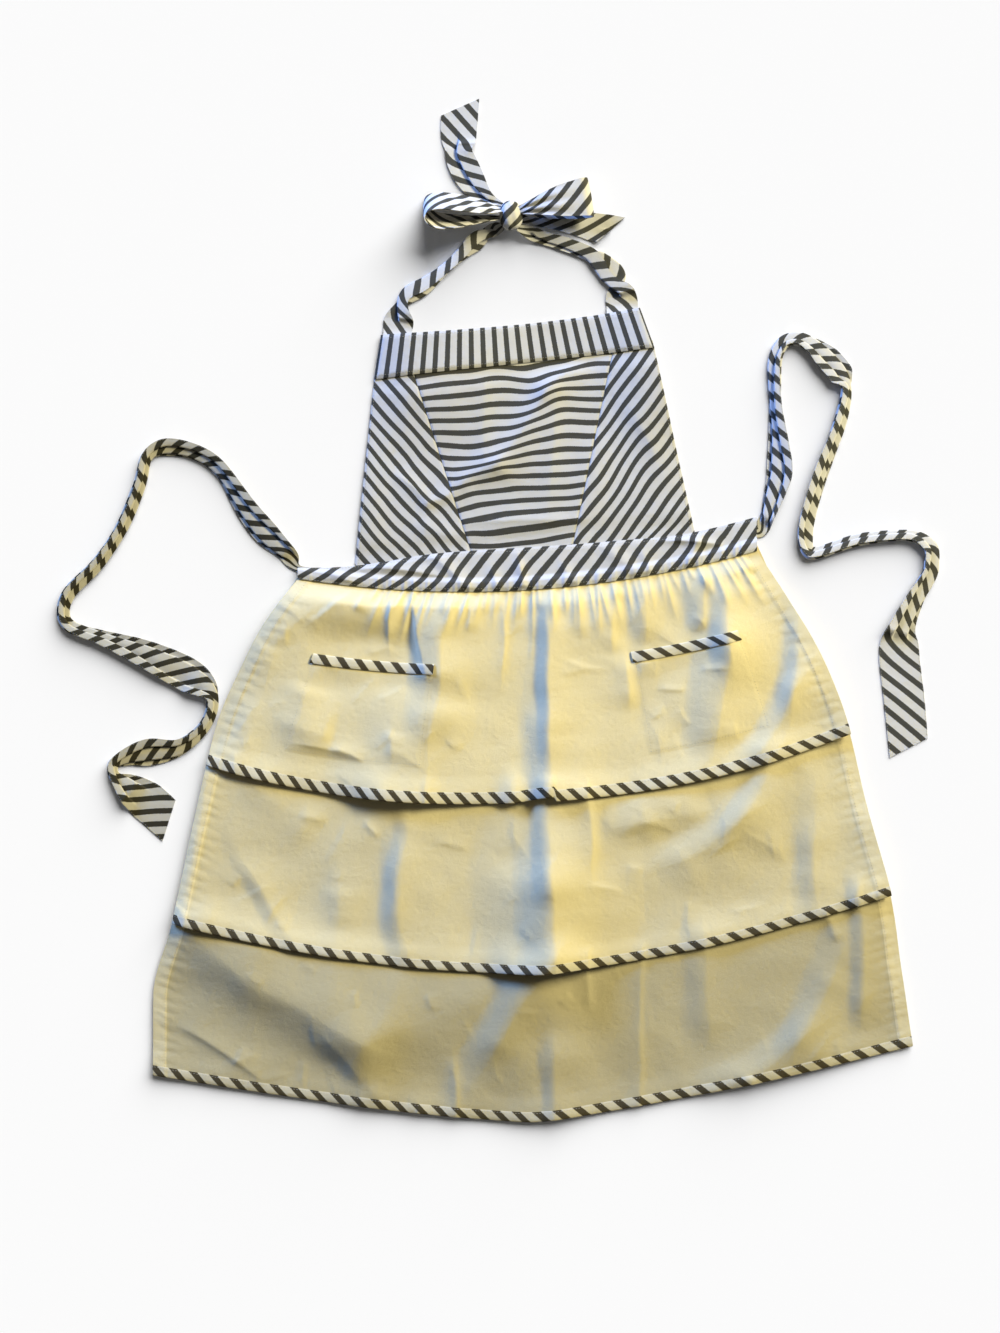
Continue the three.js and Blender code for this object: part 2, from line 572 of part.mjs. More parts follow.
// Points across a ribbon, as offsets sideways and up: the slope of the ribbon turns from +fold to
// -fold across it, rounded at the crest, and the whole section is then leaned over and centred.
function ribbonSection({ wide, fold, lean }) {
  const step = wide / SECTION_STEPS;
  const line = [new THREE.Vector2(0, 0)];
  for (let i = 0; i < SECTION_STEPS; i += 1) {
    const place = (2 * (i + 0.5)) / SECTION_STEPS - 1;
    const turn = (place * Math.hypot(1, TENT_ROUNDING)) / Math.hypot(place, TENT_ROUNDING);
    const slope = degToRad(lean) - degToRad(fold) * turn;
    line.push(line[i].clone().add(new THREE.Vector2(Math.cos(slope), Math.sin(slope)).multiplyScalar(step)));
  }
  const box = new THREE.Box2().setFromPoints(line);
  const middle = new THREE.Vector2((box.min.x + box.max.x) / 2, 0);
  return Array.from({ length: RIBBON_COLUMNS + 1 }, (_, i) =>
    line[(i * SECTION_STEPS) / RIBBON_COLUMNS].clone().sub(middle),
  );
}

// A ribbon that lies along its rows with its lowest line on the table, centred on them as seen from
// above. The end is cut at a slant: further along on the left side by the slant times the distance
// from the middle. The start height and end height, when given, lift the ribbon's two ends that far.
function ribbonGrid(rows, { stations, slant = 0, startHeight = 0, endHeight = 0 }) {
  const numbered = rows.map((row, number) => ({ ...row, number }));
  const last = rows.length - 1;
  return Array.from({ length: stations + 1 }, (_, station) => {
    const number = (last * station) / stations;
    const place = columnsAt(numbered, "number", number);
    const ahead = columnsAt(numbered, "number", Math.min(number + RIBBON_LOOK, last));
    const behind = columnsAt(numbered, "number", Math.max(number - RIBBON_LOOK, 0));
    const along = new THREE.Vector2(ahead.x - behind.x, ahead.y - behind.y).normalize();
    const starting = 1 - smoothstep(number, 0, RIBBON_END);
    const ending = smoothstep(number, last - RIBBON_END, last);
    const section = ribbonSection(place);
    const lowest = Math.min(...section.map((offset) => offset.y));
    const flat = DOUBLE / 2 + TABLE_GAP - lowest;
    const lift = flat + starting * Math.max(startHeight - flat, 0) + ending * Math.max(endHeight - flat, 0);
    return section.map((offset) => {
      const shift = slant * offset.x * ending;
      return new THREE.Vector3(
        place.x - along.y * offset.x + along.x * shift,
        place.y + along.x * offset.x + along.y * shift,
        offset.y + lift,
      );
    });
  });
}

// A bow loop: its middle line through the path's rows, as wide as they say along its one direction.
function loopGrid({ direction, path }, stations, columns) {
  const across = new THREE.Vector3(...direction).normalize();
  const numbered = path.map((row, number) => ({ ...row, number }));
  return Array.from({ length: stations + 1 }, (_, station) => {
    const row = columnsAt(numbered, "number", ((path.length - 1) * station) / stations);
    return Array.from({ length: columns + 1 }, (_, column) =>
      new THREE.Vector3(row.x, row.y, row.z).addScaledVector(across, row.wide * (column / columns - 0.5)),
    );
  });
}

const wasm = await Module();
wasm.setup();

function solidOf(geometry) {
  const mesh = new wasm.Mesh({
    numProp: 3,
    vertProperties: new Float32Array(geometry.getAttribute("position").array),
    triVerts: new Uint32Array(geometry.getIndex().array),
  });
  return new wasm.Manifold(mesh);
}

// The knot: a rounded bundle with three soft ridges, cut out where the ribbons run into it.
function knot(ribbons) {
  const { rings, segments } = KNOT_FACETS;
  const points = [new THREE.Vector3(0, 1, 0)];
  for (let ring = 1; ring < rings; ring += 1) {
    const polar = (Math.PI * ring) / rings;
    for (let segment = 0; segment < segments; segment += 1) {
      const turn = (2 * Math.PI * segment) / segments;
      const radius = Math.sin(polar) * (1 + KNOT_RIDGES.height * Math.cos(KNOT_RIDGES.count * turn));
      points.push(new THREE.Vector3(radius * Math.cos(turn), Math.cos(polar), radius * Math.sin(turn)));
    }
  }
  points.push(new THREE.Vector3(0, -1, 0));
  const bottom = points.length - 1;
  const index = (ring, segment) => 1 + (ring - 1) * segments + (segment % segments);
  const triangles = [];
  for (let segment = 0; segment < segments; segment += 1) {
    triangles.push(0, index(1, segment + 1), index(1, segment));
    triangles.push(bottom, index(rings - 1, segment), index(rings - 1, segment + 1));
    for (let ring = 1; ring + 1 < rings; ring += 1) {
      const [a, b] = [index(ring, segment), index(ring, segment + 1)];
      const [c, d] = [index(ring + 1, segment + 1), index(ring + 1, segment)];
      triangles.push(a, b, c, a, c, d);
    }
  }
  const size = new THREE.Vector3(KNOT.halfX, KNOT.halfY, KNOT.halfZ);
  const center = new THREE.Vector3(KNOT.x, KNOT.y, KNOT.z);
  const bundle = closedGeometry(points.map((point) => point.multiply(size).add(center)), triangles);
  let solid = solidOf(bundle);
  for (const grid of ribbons) {
    solid = solid.subtract(solidOf(roomFor(grid)));
  }
  const { vertProperties, triVerts } = solid.getMesh();
  const geometry = new THREE.BufferGeometry();
  geometry.setAttribute("position", new THREE.BufferAttribute(vertProperties, 3));
  geometry.setIndex(new THREE.BufferAttribute(triVerts, 1));
  geometry.computeVertexNormals();
  return geometry;
}

const apron = new THREE.Group();
apron.name = "pinafore_apron";

function add(name, geometry, material) {
  const mesh = new THREE.Mesh(geometry, material);
  mesh.name = name;
  apron.add(mesh);
}

for (const name of Object.keys(LAYERS)) {
  const suffix = name === "base" ? "base" : `${name}_tier`;
  add(`skirt_${suffix}`, skirtLayer(name), YELLOW);
  add(`hem_binding_${name}`, hemTape(name), STRIPED);
}
for (const row of POCKETS) {
  add(`pocket_${row.side}`, pocket(row), YELLOW);
  add(`pocket_binding_${row.side}`, pocketTape(row), STRIPED);
}
add("waistband", waistband(), STRIPED);
for (const row of BIB_PANELS) {
  add(row.name, bibPanel(row), STRIPED);
}
add("bib_top_band", topBand(), STRIPED);

add("waist_tie_left", sheet(ribbonGrid(WAIST_TIE_LEFT, { stations: 48, slant: -0.9 }), DOUBLE), STRIPED);
add("waist_tie_right", sheet(ribbonGrid(WAIST_TIE_RIGHT, { stations: 48, slant: -0.4 }), DOUBLE), STRIPED);

const bowRibbons = {
  neck_tie_left: ribbonGrid(NECK_TIE_LEFT, { stations: 15, endHeight: 6 }),
  neck_tie_right: ribbonGrid(NECK_TIE_RIGHT, { stations: 15, endHeight: 10 }),
  bow_tail_upper: ribbonGrid(BOW_TAIL_UPPER, { stations: 13, slant: -0.5, startHeight: 5 }),
  bow_tail_side: ribbonGrid(BOW_TAIL_SIDE, { stations: 9, slant: 0.8, startHeight: 5 }),
  bow_loop_left: loopGrid(BOW_LOOP_LEFT, 18, 2),
  bow_loop_right: loopGrid(BOW_LOOP_RIGHT, 16, 2),
};
for (const [name, grid] of Object.entries(bowRibbons)) {
  add(name, sheet(grid, DOUBLE), STRIPED);
}
add("bow_knot", knot(Object.values(bowRibbons)), STRIPED);

export default apron;
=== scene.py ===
"""A pinafore apron laid out face up on a pale floor: the looks of its cloth.

Lengths are metres, the floor is z = 0, +Z is up and +Y points to the neck. Every piece of cloth is a
surface worked out on a grid of points, closed into a thin wall.
"""
import json
import math

import bpy
import numpy as np
from bpy.props import FloatProperty, FloatVectorProperty, PointerProperty
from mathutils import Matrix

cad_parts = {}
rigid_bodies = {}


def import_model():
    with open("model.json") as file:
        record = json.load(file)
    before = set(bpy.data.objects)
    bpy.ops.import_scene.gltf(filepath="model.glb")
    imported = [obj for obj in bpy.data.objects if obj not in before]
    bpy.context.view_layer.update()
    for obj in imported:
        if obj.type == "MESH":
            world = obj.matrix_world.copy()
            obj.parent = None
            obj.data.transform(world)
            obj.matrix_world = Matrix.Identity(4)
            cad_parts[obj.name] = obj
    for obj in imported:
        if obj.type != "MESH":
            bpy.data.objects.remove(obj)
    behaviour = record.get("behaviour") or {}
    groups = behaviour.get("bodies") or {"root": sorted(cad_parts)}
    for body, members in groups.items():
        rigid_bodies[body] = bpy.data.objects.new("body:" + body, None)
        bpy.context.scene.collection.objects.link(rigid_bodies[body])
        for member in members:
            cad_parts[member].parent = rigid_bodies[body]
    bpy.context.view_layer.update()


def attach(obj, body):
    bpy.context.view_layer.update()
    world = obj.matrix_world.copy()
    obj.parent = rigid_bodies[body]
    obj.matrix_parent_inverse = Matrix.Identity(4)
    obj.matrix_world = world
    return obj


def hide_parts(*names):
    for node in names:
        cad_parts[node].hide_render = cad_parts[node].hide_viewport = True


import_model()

bl_info = {
    "name": "Pinafore Apron",
    "version": (1, 0, 0),
    "blender": (4, 5, 0),
    "location": "View3D > Sidebar > Apron",
    "description": "Builds the cloth of a laid-out pinafore apron and a plain stage for it",
    "category": "Object",
}


def table(columns, rows):
    """Named columns of numbers from rows of numbers."""
    return dict(zip(columns, np.array(rows, dtype=float).T))


# Skirt outline. Each row is a line across the skirt at a share of the way down: its two ends, how far
# its middle sags below the straight line between them, and the power that rounds the sag.
SKIRT_SECTIONS = table(("down", "left_x", "left_y", "right_x", "right_y", "sag", "round"), (
    (0, -0.218, 0.032, 0.277, 0.062, 0.027, 2),
    (0.1, -0.255, -0.018, 0.308, 0.014, 0.035, 2),
    (0.2, -0.281, -0.068, 0.338, -0.036, 0.043, 2.1),
    (0.3, -0.303, -0.118, 0.361, -0.086, 0.05, 2.2),
    (0.4, -0.316, -0.168, 0.377, -0.134, 0.057, 2.2),
    (0.56, -0.335, -0.253, 0.397, -0.22, 0.063, 1.9),
    (0.72, -0.353, -0.338, 0.421, -0.308, 0.068, 1.7),
    (0.86, -0.374, -0.419, 0.433, -0.389, 0.067, 1.45),
    (1, -0.374, -0.502, 0.445, -0.471, 0.066, 1.3),
))
SKIRT_LENGTH = 0.575
# Places and reaches down the skirt are shares of its length, as these are: the tuck that the waistband
# hides, which is less at the left end of the waist, and the width of the tape.
TUCK_SHARE = 0.008 / SKIRT_LENGTH
LEFT_TUCK = 0.25
LEFT_TUCK_ENDS = 0.15
TAPE_SHARE = 0.017
LAYER_STEP = 0.0012
SKIRT_CLOTH = 0.0007
TAPE_CLOTH = 0.0005
TAPE_GAP = 0.0004
HEM_LIFT = 0.0011
SKIRT_COLUMNS = 380

# The three layers, each lying on the one named as under it: how many layers there are up to it, where
# its hem is, where the part that shows starts, how many rows of the grid that part gets, its flat width
# and length, its seed, and the pitch of the stripes along its tape.
LAYERS = {
    "base": {
        "node": "skirt_base", "layers": 1, "hem": 1.0, "shows": 0.68, "rows": 100,
        "flat": (0.84, 0.6), "seed": 11, "pitch": 0.022,
    },
    "middle": {
        "node": "skirt_middle_tier", "layers": 2, "under": "base", "hem": 0.72, "shows": 0.37,
        "rows": 106, "flat": (0.78, 0.435), "seed": 23, "pitch": 0.0214,
    },
    "top": {
        "node": "skirt_top_tier", "layers": 3, "under": "middle", "hem": 0.4, "shows": -TUCK_SHARE,
        "rows": 124, "flat": (0.7, 0.25), "seed": 37, "pitch": 0.0184,
    },
}
HIDDEN_ROWS = 14

# Creases. Each runs from one point to another along a line bowed to its left. Its height falls off to
# the left and right of the crest over those spreads, more sharply for a lower power, and head and tail
# are the shares of the height left at its two ends. A power of 1 makes it a fold.
CREASE = ("x0", "y0", "x1", "y1", "bow", "height", "right", "left", "power", "head", "tail")
TOP_CREASES = table(CREASE, (
    (0.049, 0.024, 0.053, -0.142, 0.001, 0.009, 0.017, 0.088, 1, 0.8, 0.4),
    (0.051, -0.088, 0.055, -0.213, 0, 0.008, 0.036, 0.088, 1, 0.2, 0.8),
    (0.084, 0.016, 0.089, -0.034, 0, 0.0025, 0.008, 0.014, 1.4, 0.8, 0.2),
    (0.121, 0.016, 0.123, -0.051, 0, 0.004, 0.02, 0.008, 1.4, 0.9, 0.2),
    (0.135, -0.043, 0.138, -0.116, 0, 0.0036, 0.016, 0.008, 1.4, 0.3, 0.2),
    (0.158, 0.026, 0.156, -0.041, 0, 0.005, 0.02, 0.036, 1, 0.9, 0.2),
    (0.216, 0.05, 0.222, -0.034, 0, 0.006, 0.024, 0.026, 1, 0.9, 0.2),
    (0.239, 0.039, 0.247, -0.041, 0.001, 0.009, 0.024, 0.062, 1, 0.7, 0.9),
    (0.247, -0.041, 0.225, -0.172, 0.003, 0.008, 0.04, 0.064, 1, 0.9, 0.3),
    (0.321, -0.034, 0.315, -0.092, 0.001, 0.006, 0.02, 0.056, 1, 0.6, 0.95),
    (0.315, -0.092, 0.257, -0.174, 0.008, 0.0065, 0.024, 0.054, 1, 0.95, 0.5),
    (0.328, 0.02, 0.378, -0.14, 0.003, 0.006, 0.032, 0.009, 1.6, 0.5, 0.9),
    (-0.166, 0.023, -0.248, -0.045, -0.003, 0.006, 0.058, 0.06, 1, 0.9, 0.4),
    (-0.197, 0.005, -0.095, 0.001, 0, 0.008, 0.044, 0.026, 1, 0.4, 0.5),
    (-0.229, 0.005, -0.283, -0.177, 0.003, 0.005, 0.044, 0.13, 1, 0.8, 0.9),
    (-0.156, 0.02, -0.205, -0.016, 0, 0.0026, 0.004, 0.009, 1.3, 0.9, 0.2),
    (-0.118, 0.02, -0.119, -0.043, 0, 0.0034, 0.003, 0.013, 1.2, 0.9, 0.2),
    (-0.097, 0.018, -0.08, -0.069, 0.001, 0.004, 0.003, 0.012, 1.2, 0.9, 0.4),
    (-0.145, 0.021, -0.156, -0.004, 0, 0.0026, 0.003, 0.009, 1.2, 0.9, 0.1),
    (-0.032, 0.013, -0.035, -0.03, 0, 0.0024, 0.003, 0.009, 1.2, 0.9, 0.1),
    (-0.054, 0.011, -0.068, -0.105, -0.001, 0.012, 0.036, 0.09, 1, 0.9, 0.4),
    (-0.067, -0.077, -0.082, -0.213, 0, 0.008, 0.125, 0.09, 1, 0.2, 0.9),
    (0.003, 0.009, 0.003, -0.084, 0, 0.0016, 0.007, 0.003, 1.3, 0.8, 0.2),
    (-0.214, -0.077, -0.221, -0.123, 0.003, 0.0034, 0.018, 0.042, 1.6, 0.3, 0.9),
    (-0.221, -0.123, -0.179, -0.14, -0.002, 0.003, 0.014, 0.032, 1.6, 0.9, 0.2),
    (-0.229, -0.142, -0.153, -0.165, 0.002, 0.002, 0.004, 0.01, 1.3, 0.1, 0.1),
    (-0.188, -0.15, -0.143, -0.17, 0.002, 0.0018, 0.003, 0.008, 1.3, 0.1, 0.1),
    (-0.117, -0.129, -0.117, -0.168, 0, 0.0024, 0.008, 0.014, 1.5, 0.2, 0.2),
    (0.167, -0.086, 0.205, -0.088, 0, 0.0012, 0.003, 0.006, 1.3, 0.1, 0.1),
    (0.216, -0.069, 0.246, -0.064, 0, 0.0012, 0.003, 0.006, 1.3, 0.1, 0.1),
))
MIDDLE_CREASES = table(CREASE, (
    (0.051, -0.199, 0.057, -0.326, 0, 0.0075, 0.024, 0.096, 1, 0.9, 0.15),
    (0.052, -0.22, 0.06, -0.395, 0, 0.009, 0.046, 0.1, 1, 0.1, 0.6),
    (0.055, -0.261, 0.06, -0.395, 0, 0.012, 0.092, 0.1, 1, 0.1, 0.9),
    (0.093, -0.2, 0.099, -0.291, 0.001, 0.0026, 0.016, 0.006, 1.3, 1, 0.3),
    (0.106, -0.224, 0.151, -0.232, -0.007, 0.0034, 0.014, 0.022, 1.7, 0.5, 0.8),
    (0.151, -0.232, 0.231, -0.21, 0, 0.0036, 0.014, 0.026, 1.8, 0.8, 0.3),
    (0.297, -0.161, 0.261, -0.224, 0.002, 0.006, 0.03, 0.084, 1, 0.8, 0.95),
    (0.261, -0.224, 0.162, -0.285, 0.009, 0.0055, 0.032, 0.07, 1, 0.95, 0.2),
    (0.339, -0.207, 0.341, -0.334, -0.002, 0.005, 0.027, 0.06, 1, 0.3, 0.5),
    (0.421, -0.201, 0.423, -0.306, 0, 0.006, 0.036, 0.008, 1.6, 0.5, 0.8),
    (-0.097, -0.215, -0.108, -0.28, 0.003, 0.0034, 0.02, 0.08, 1, 0.5, 0.95),
    (-0.108, -0.28, -0.108, -0.321, 0.002, 0.0044, 0.026, 0.082, 1, 0.95, 0.95),
    (-0.108, -0.321, -0.095, -0.388, -0.002, 0.004, 0.026, 0.08, 1, 0.95, 0.4),
    (-0.281, -0.259, -0.227, -0.352, -0.002, 0.0036, 0.018, 0.05, 1, 0.3, 0.5),
    (-0.315, -0.185, -0.341, -0.347, 0, 0.005, 0.024, 0.095, 1, 0.9, 0.9),
    (-0.257, -0.198, -0.194, -0.248, -0.004, 0.003, 0.026, 0.022, 1.9, 0.6, 0.2),
    (-0.173, -0.293, -0.177, -0.349, 0, 0.003, 0.014, 0.026, 1.8, 0.3, 0.3),
    (-0.22, -0.222, -0.184, -0.231, 0, 0.0012, 0.004, 0.008, 1.3, 0.1, 0.1),
    (-0.149, -0.226, -0.13, -0.248, 0, 0.0014, 0.004, 0.007, 1.3, 0.1, 0.1),
))
BASE_CREASES = table(CREASE, (
    (-0.326, -0.354, -0.147, -0.464, -0.009, 0.013, 0.029, 0.066, 1.6, 0.6, 0.9),
    (-0.197, -0.449, -0.136, -0.52, 0, 0.004, 0.012, 0.024, 1.6, 0.3, 0.6),
    (-0.147, -0.464, 0.026, -0.39, -0.009, 0.007, 0.046, 0.058, 1.6, 0.95, 0.8),
    (0.058, -0.377, -0.026, -0.514, -0.003, 0.011, 0.036, 0.105, 1, 1, 0.3),
    (0.059, -0.451, 0.059, -0.55, 0, 0.0045, 0.017, 0.07, 1, 0.1, 0.5),
    (-0.05, -0.477, -0.046, -0.542, 0, 0.0024, 0.012, 0.005, 1.3, 0.2, 0.8),
    (-0.36, -0.446, -0.268, -0.503, 0.005, 0.0026, 0.004, 0.017, 1.2, 0.3, 0.6),
    (0.221, -0.354, 0.227, -0.492, 0, 0.0036, 0.03, 0.06, 1, 1, 0.05),
    (0.151, -0.367, 0.153, -0.539, 0, 0.0016, 0.012, 0.004, 1.3, 1, 0.9),
    (0.365, -0.377, 0.327, -0.462, 0.002, 0.006, 0.032, 0.072, 1, 0.6, 0.95),
    (0.327, -0.462, 0.24, -0.518, 0.005, 0.006, 0.032, 0.06, 1, 0.95, 0.4),
    (0.387, -0.315, 0.391, -0.466, 0.003, 0.0044, 0.018, 0.04, 1, 0.9, 0.1),
    (0.35, -0.328, 0.365, -0.362, 0, 0.0024, 0.006, 0.009, 1.4, 0.8, 0.1),
    (0.097, -0.372, 0.097, -0.438, 0, 0.0016, 0.009, 0.004, 1.2, 1, 0.1),
))
BIB_CREASES = table(CREASE, (
    (0.086, 0.275, 0.05, 0.235, 0.002, 0.0034, 0.0138, 0.0176, 1.5, 0.8, 0.95),
    (0.05, 0.235, -0.004, 0.156, 0.003, 0.0037, 0.015, 0.0176, 1.5, 0.95, 0.95),
    (-0.004, 0.156, -0.052, 0.126, -0.003, 0.0034, 0.0125, 0.0149, 1.5, 0.95, 0.5),
    (0.065, 0.227, -0.002, 0.132, 0.003, 0.0019, 0.015, 0.0378, 2, 0.2, 0.2),
    (-0.017, 0.262, -0.018, 0.147, 0, 0.00099, 0.01, 0.0081, 1.6, 0.8, 0.5),
    (0.062, 0.234, 0.052, 0.109, 0, 0.0012, 0.0112, 0.0081, 1.6, 0.5, 0.5),
    (-0.035, 0.092, 0.086, 0.095, 0.002, 0.0017, 0.00625, 0.0081, 1.4, 0.4, 0.5),
    (-0.022, 0.08, 0.065, 0.084, 0, 0.00099, 0.0075, 0.00675, 1.8, 0.3, 0.3),
    (-0.119, 0.148, -0.078, 0.114, 0.003, 0.0019, 0.0075, 0.00945, 1.4, 0.3, 0.8),
    (-0.078, 0.114, -0.054, 0.123, -0.001, 0.0017, 0.0075, 0.0081, 1.4, 0.8, 0.6),
    (-0.097, 0.093, -0.043, 0.068, 0.003, 0.0016, 0.0112, 0.0122, 1.8, 0.3, 0.6),
    (-0.136, 0.193, -0.147, 0.052, 0.002, 0.0016, 0.025, 0.0189, 2, 0.4, 0.4),
    (0.121, 0.064, 0.205, 0.093, 0.002, 0.0017, 0.0075, 0.0108, 1.5, 0.6, 0.5),
    (0.151, 0.247, 0.184, 0.112, -0.004, 0.0016, 0.0275, 0.0216, 2, 0.3, 0.3),
    (0.108, 0.204, 0.092, 0.083, 0.002, 0.0012, 0.0175, 0.0162, 2, 0.3, 0.5),
    (0.135, 0.225, 0.173, 0.15, 0.002, 0.0011, 0.0075, 0.0108, 1.4, 0.2, 0.2),
))
BAND_CREASES = table(CREASE, (
    (-0.145, 0.044, -0.065, 0.035, 0.002, 0.003, 0.005, 0.008, 1.4, 0.4, 0.6),
    (-0.073, 0.057, -0.032, 0.018, 0.002, 0.0028, 0.007, 0.008, 1.5, 0.7, 0.7),
    (0.019, 0.057, 0.028, 0.018, 0, 0.0026, 0.007, 0.004, 1.4, 0.4, 0.9),
    (0.108, 0.07, 0.153, 0.035, 0, 0.0018, 0.01, 0.008, 1.8, 0.4, 0.7),
    (0.177, 0.074, 0.235, 0.069, 0.001, 0.0028, 0.004, 0.005, 1.4, 0.4, 0.6),
    (0.216, 0.08, 0.203, 0.048, 0, 0.0024, 0.008, 0.006, 1.6, 0.6, 0.6),
    (-0.184, 0.037, -0.156, 0.028, 0, 0.0018, 0.005, 0.007, 1.5, 0.5, 0.5),
    (0.065, 0.052, 0.081, 0.022, 0, 0.0016, 0.006, 0.006, 1.5, 0.3, 0.9),
    (-0.011, 0.047, 0, 0.018, 0, 0.0016, 0.006, 0.006, 1.5, 0.3, 0.9),
    (0.151, 0.065, 0.162, 0.042, 0, 0.0014, 0.006, 0.006, 1.5, 0.3, 0.9),
))

# Height of the waistband at shares of the way across the waist
WAISTBAND = table(("across", "height"), (
    (0, 0.012),
    (0.12, 0.022),
    (0.3, 0.041),
    (0.5, 0.046),
    (0.7, 0.043),
    (0.86, 0.037),
    (1, 0.037),
))

# Ribbons. Each row is a place on the middle line, the width of the cloth there, the degrees that the two
# sides of a single tent would fall to make it look as narrow, and the degrees that it leans sideways.
RIBBON = ("x", "y", "wide", "fold", "lean")
WAIST_TIE_LEFT = table(RIBBON, (
    (-0.203, 0.0405, 0.0065, 0, 0),
    (-0.22, 0.0445, 0.009, 0, 0),
    (-0.23, 0.06, 0.028, 53, 0),
    (-0.2525, 0.0815, 0.042, 57, 4),
    (-0.273, 0.107, 0.044, 65, 8),
    (-0.3, 0.1485, 0.044, 78, 4),
    (-0.325, 0.167, 0.044, 78, -5),
    (-0.3565, 0.174, 0.044, 75, -8),
    (-0.38, 0.1645, 0.044, 87, -4),
    (-0.389, 0.1325, 0.044, 90, 0),
    (-0.408, 0.087, 0.044, 89, 3),
    (-0.434, 0.048, 0.044, 87, 4),
    (-0.4635, 0.018, 0.044, 87, 2),
    (-0.471, -0.004, 0.044, 90, 0),
    (-0.462, -0.02, 0.044, 87, 3),
    (-0.4275, -0.032, 0.044, 78, 8),
    (-0.3825, -0.049, 0.044, 54, 10),
    (-0.34, -0.07, 0.044, 37, 8),
    (-0.3175, -0.085, 0.044, 62, 4),
    (-0.31, -0.102, 0.044, 90, 0),
    (-0.3195, -0.128, 0.044, 90, -2),
    (-0.3455, -0.1495, 0.044, 76, -8),
    (-0.378, -0.155, 0.044, 55, -8),
    (-0.403, -0.1605, 0.044, 75, -4),
    (-0.418, -0.17, 0.044, 90, 0),
    (-0.4155, -0.181, 0.044, 89, 0),
    (-0.403, -0.191, 0.044, 58, 0),
    (-0.39, -0.201, 0.044, 32, 0),
    (-0.3735, -0.2145, 0.043, 0, 0),
    (-0.3575, -0.229, 0.042, 0, 0),
))
WAIST_TIE_RIGHT = table(RIBBON, (
    (0.2655, 0.0855, 0.012, 0, 0),
    (0.279, 0.083, 0.013, 0, 0),
    (0.2875, 0.0975, 0.024, 58, 0),
    (0.295, 0.1195, 0.038, 65, -4),
    (0.3015, 0.1495, 0.044, 59, -10),
    (0.3, 0.182, 0.044, 71, -8),
    (0.297, 0.22, 0.044, 84, -4),
    (0.296, 0.2595, 0.044, 87, 0),
    (0.3035, 0.2845, 0.044, 89, 0),
    (0.3195, 0.291, 0.044, 87, 0),
    (0.337, 0.2835, 0.044, 75, 6),
    (0.3555, 0.2675, 0.044, 57, 10),
    (0.367, 0.2535, 0.044, 57, 8),
    (0.3735, 0.235, 0.044, 90, 0),
    (0.365, 0.195, 0.044, 84, -4),
    (0.3445, 0.141, 0.044, 78, -8),
    (0.3315, 0.0955, 0.044, 78, -6),
    (0.3295, 0.074, 0.044, 80, -4),
    (0.335, 0.0595, 0.044, 90, 0),
    (0.349, 0.062, 0.044, 90, 0),
    (0.389, 0.0745, 0.044, 90, 2),
    (0.4375, 0.079, 0.044, 90, 2),
    (0.4635, 0.0675, 0.044, 80, 4),
    (0.4655, 0.045, 0.044, 80, 4),
    (0.447, 0.009, 0.044, 71, 8),
    (0.434, -0.02, 0.044, 53, 8),
    (0.431, -0.046, 0.044, 12, 0),
    (0.4365, -0.099, 0.044, 0, 0),
    (0.4415, -0.1505, 0.043, 0, 0),
))
NECK_TIE_LEFT = table(RIBBON, (
    (-0.111, 0.2865, 0.03, 0, 0),
    (-0.1105, 0.301, 0.031, 0, 0),
    (-0.107, 0.3235, 0.038, 69, -10),
    (-0.0995, 0.3375, 0.038, 89, -4),
    (-0.0785, 0.3505, 0.038, 84, -6),
    (-0.0455, 0.379, 0.038, 84, -6),
    (-0.0175, 0.403, 0.03, 79, -2),
    (0.003, 0.412, 0.008, 0, 0),
))
NECK_TIE_RIGHT = table(RIBBON, (
    (0.132, 0.3125, 0.034, 0, 0),
    (0.132, 0.3265, 0.034, 0, 0),
    (0.1265, 0.3485, 0.038, 63, 8),
    (0.12, 0.3625, 0.038, 87, 2),
    (0.0995, 0.3805, 0.038, 78, 6),
    (0.0715, 0.3925, 0.036, 75, 6),
    (0.0445, 0.4005, 0.024, 62, 4),
    (0.0195, 0.41, 0.008, 0, 0),
))
BOW_TAIL_UPPER = table(RIBBON, (
    (0.005, 0.43, 0.008, 0, 0),
    (-0.014, 0.4425, 0.02, 47, 0),
    (-0.029, 0.4595, 0.036, 44, 6),
    (-0.039, 0.477, 0.04, 43, 8),
    (-0.0445, 0.493, 0.04, 49, -4),
    (-0.0445, 0.508, 0.04, 22, -2),
    (-0.043, 0.5415, 0.04, 0, 0),
))
BOW_TAIL_SIDE = table(RIBBON, (
    (0.0195, 0.4205, 0.008, 0, 0),
    (0.039, 0.421, 0.016, 0, 0),
    (0.065, 0.419, 0.022, 0, 0),
    (0.092, 0.414, 0.028, 0, 0),
    (0.12, 0.409, 0.036, 33, 6),
))

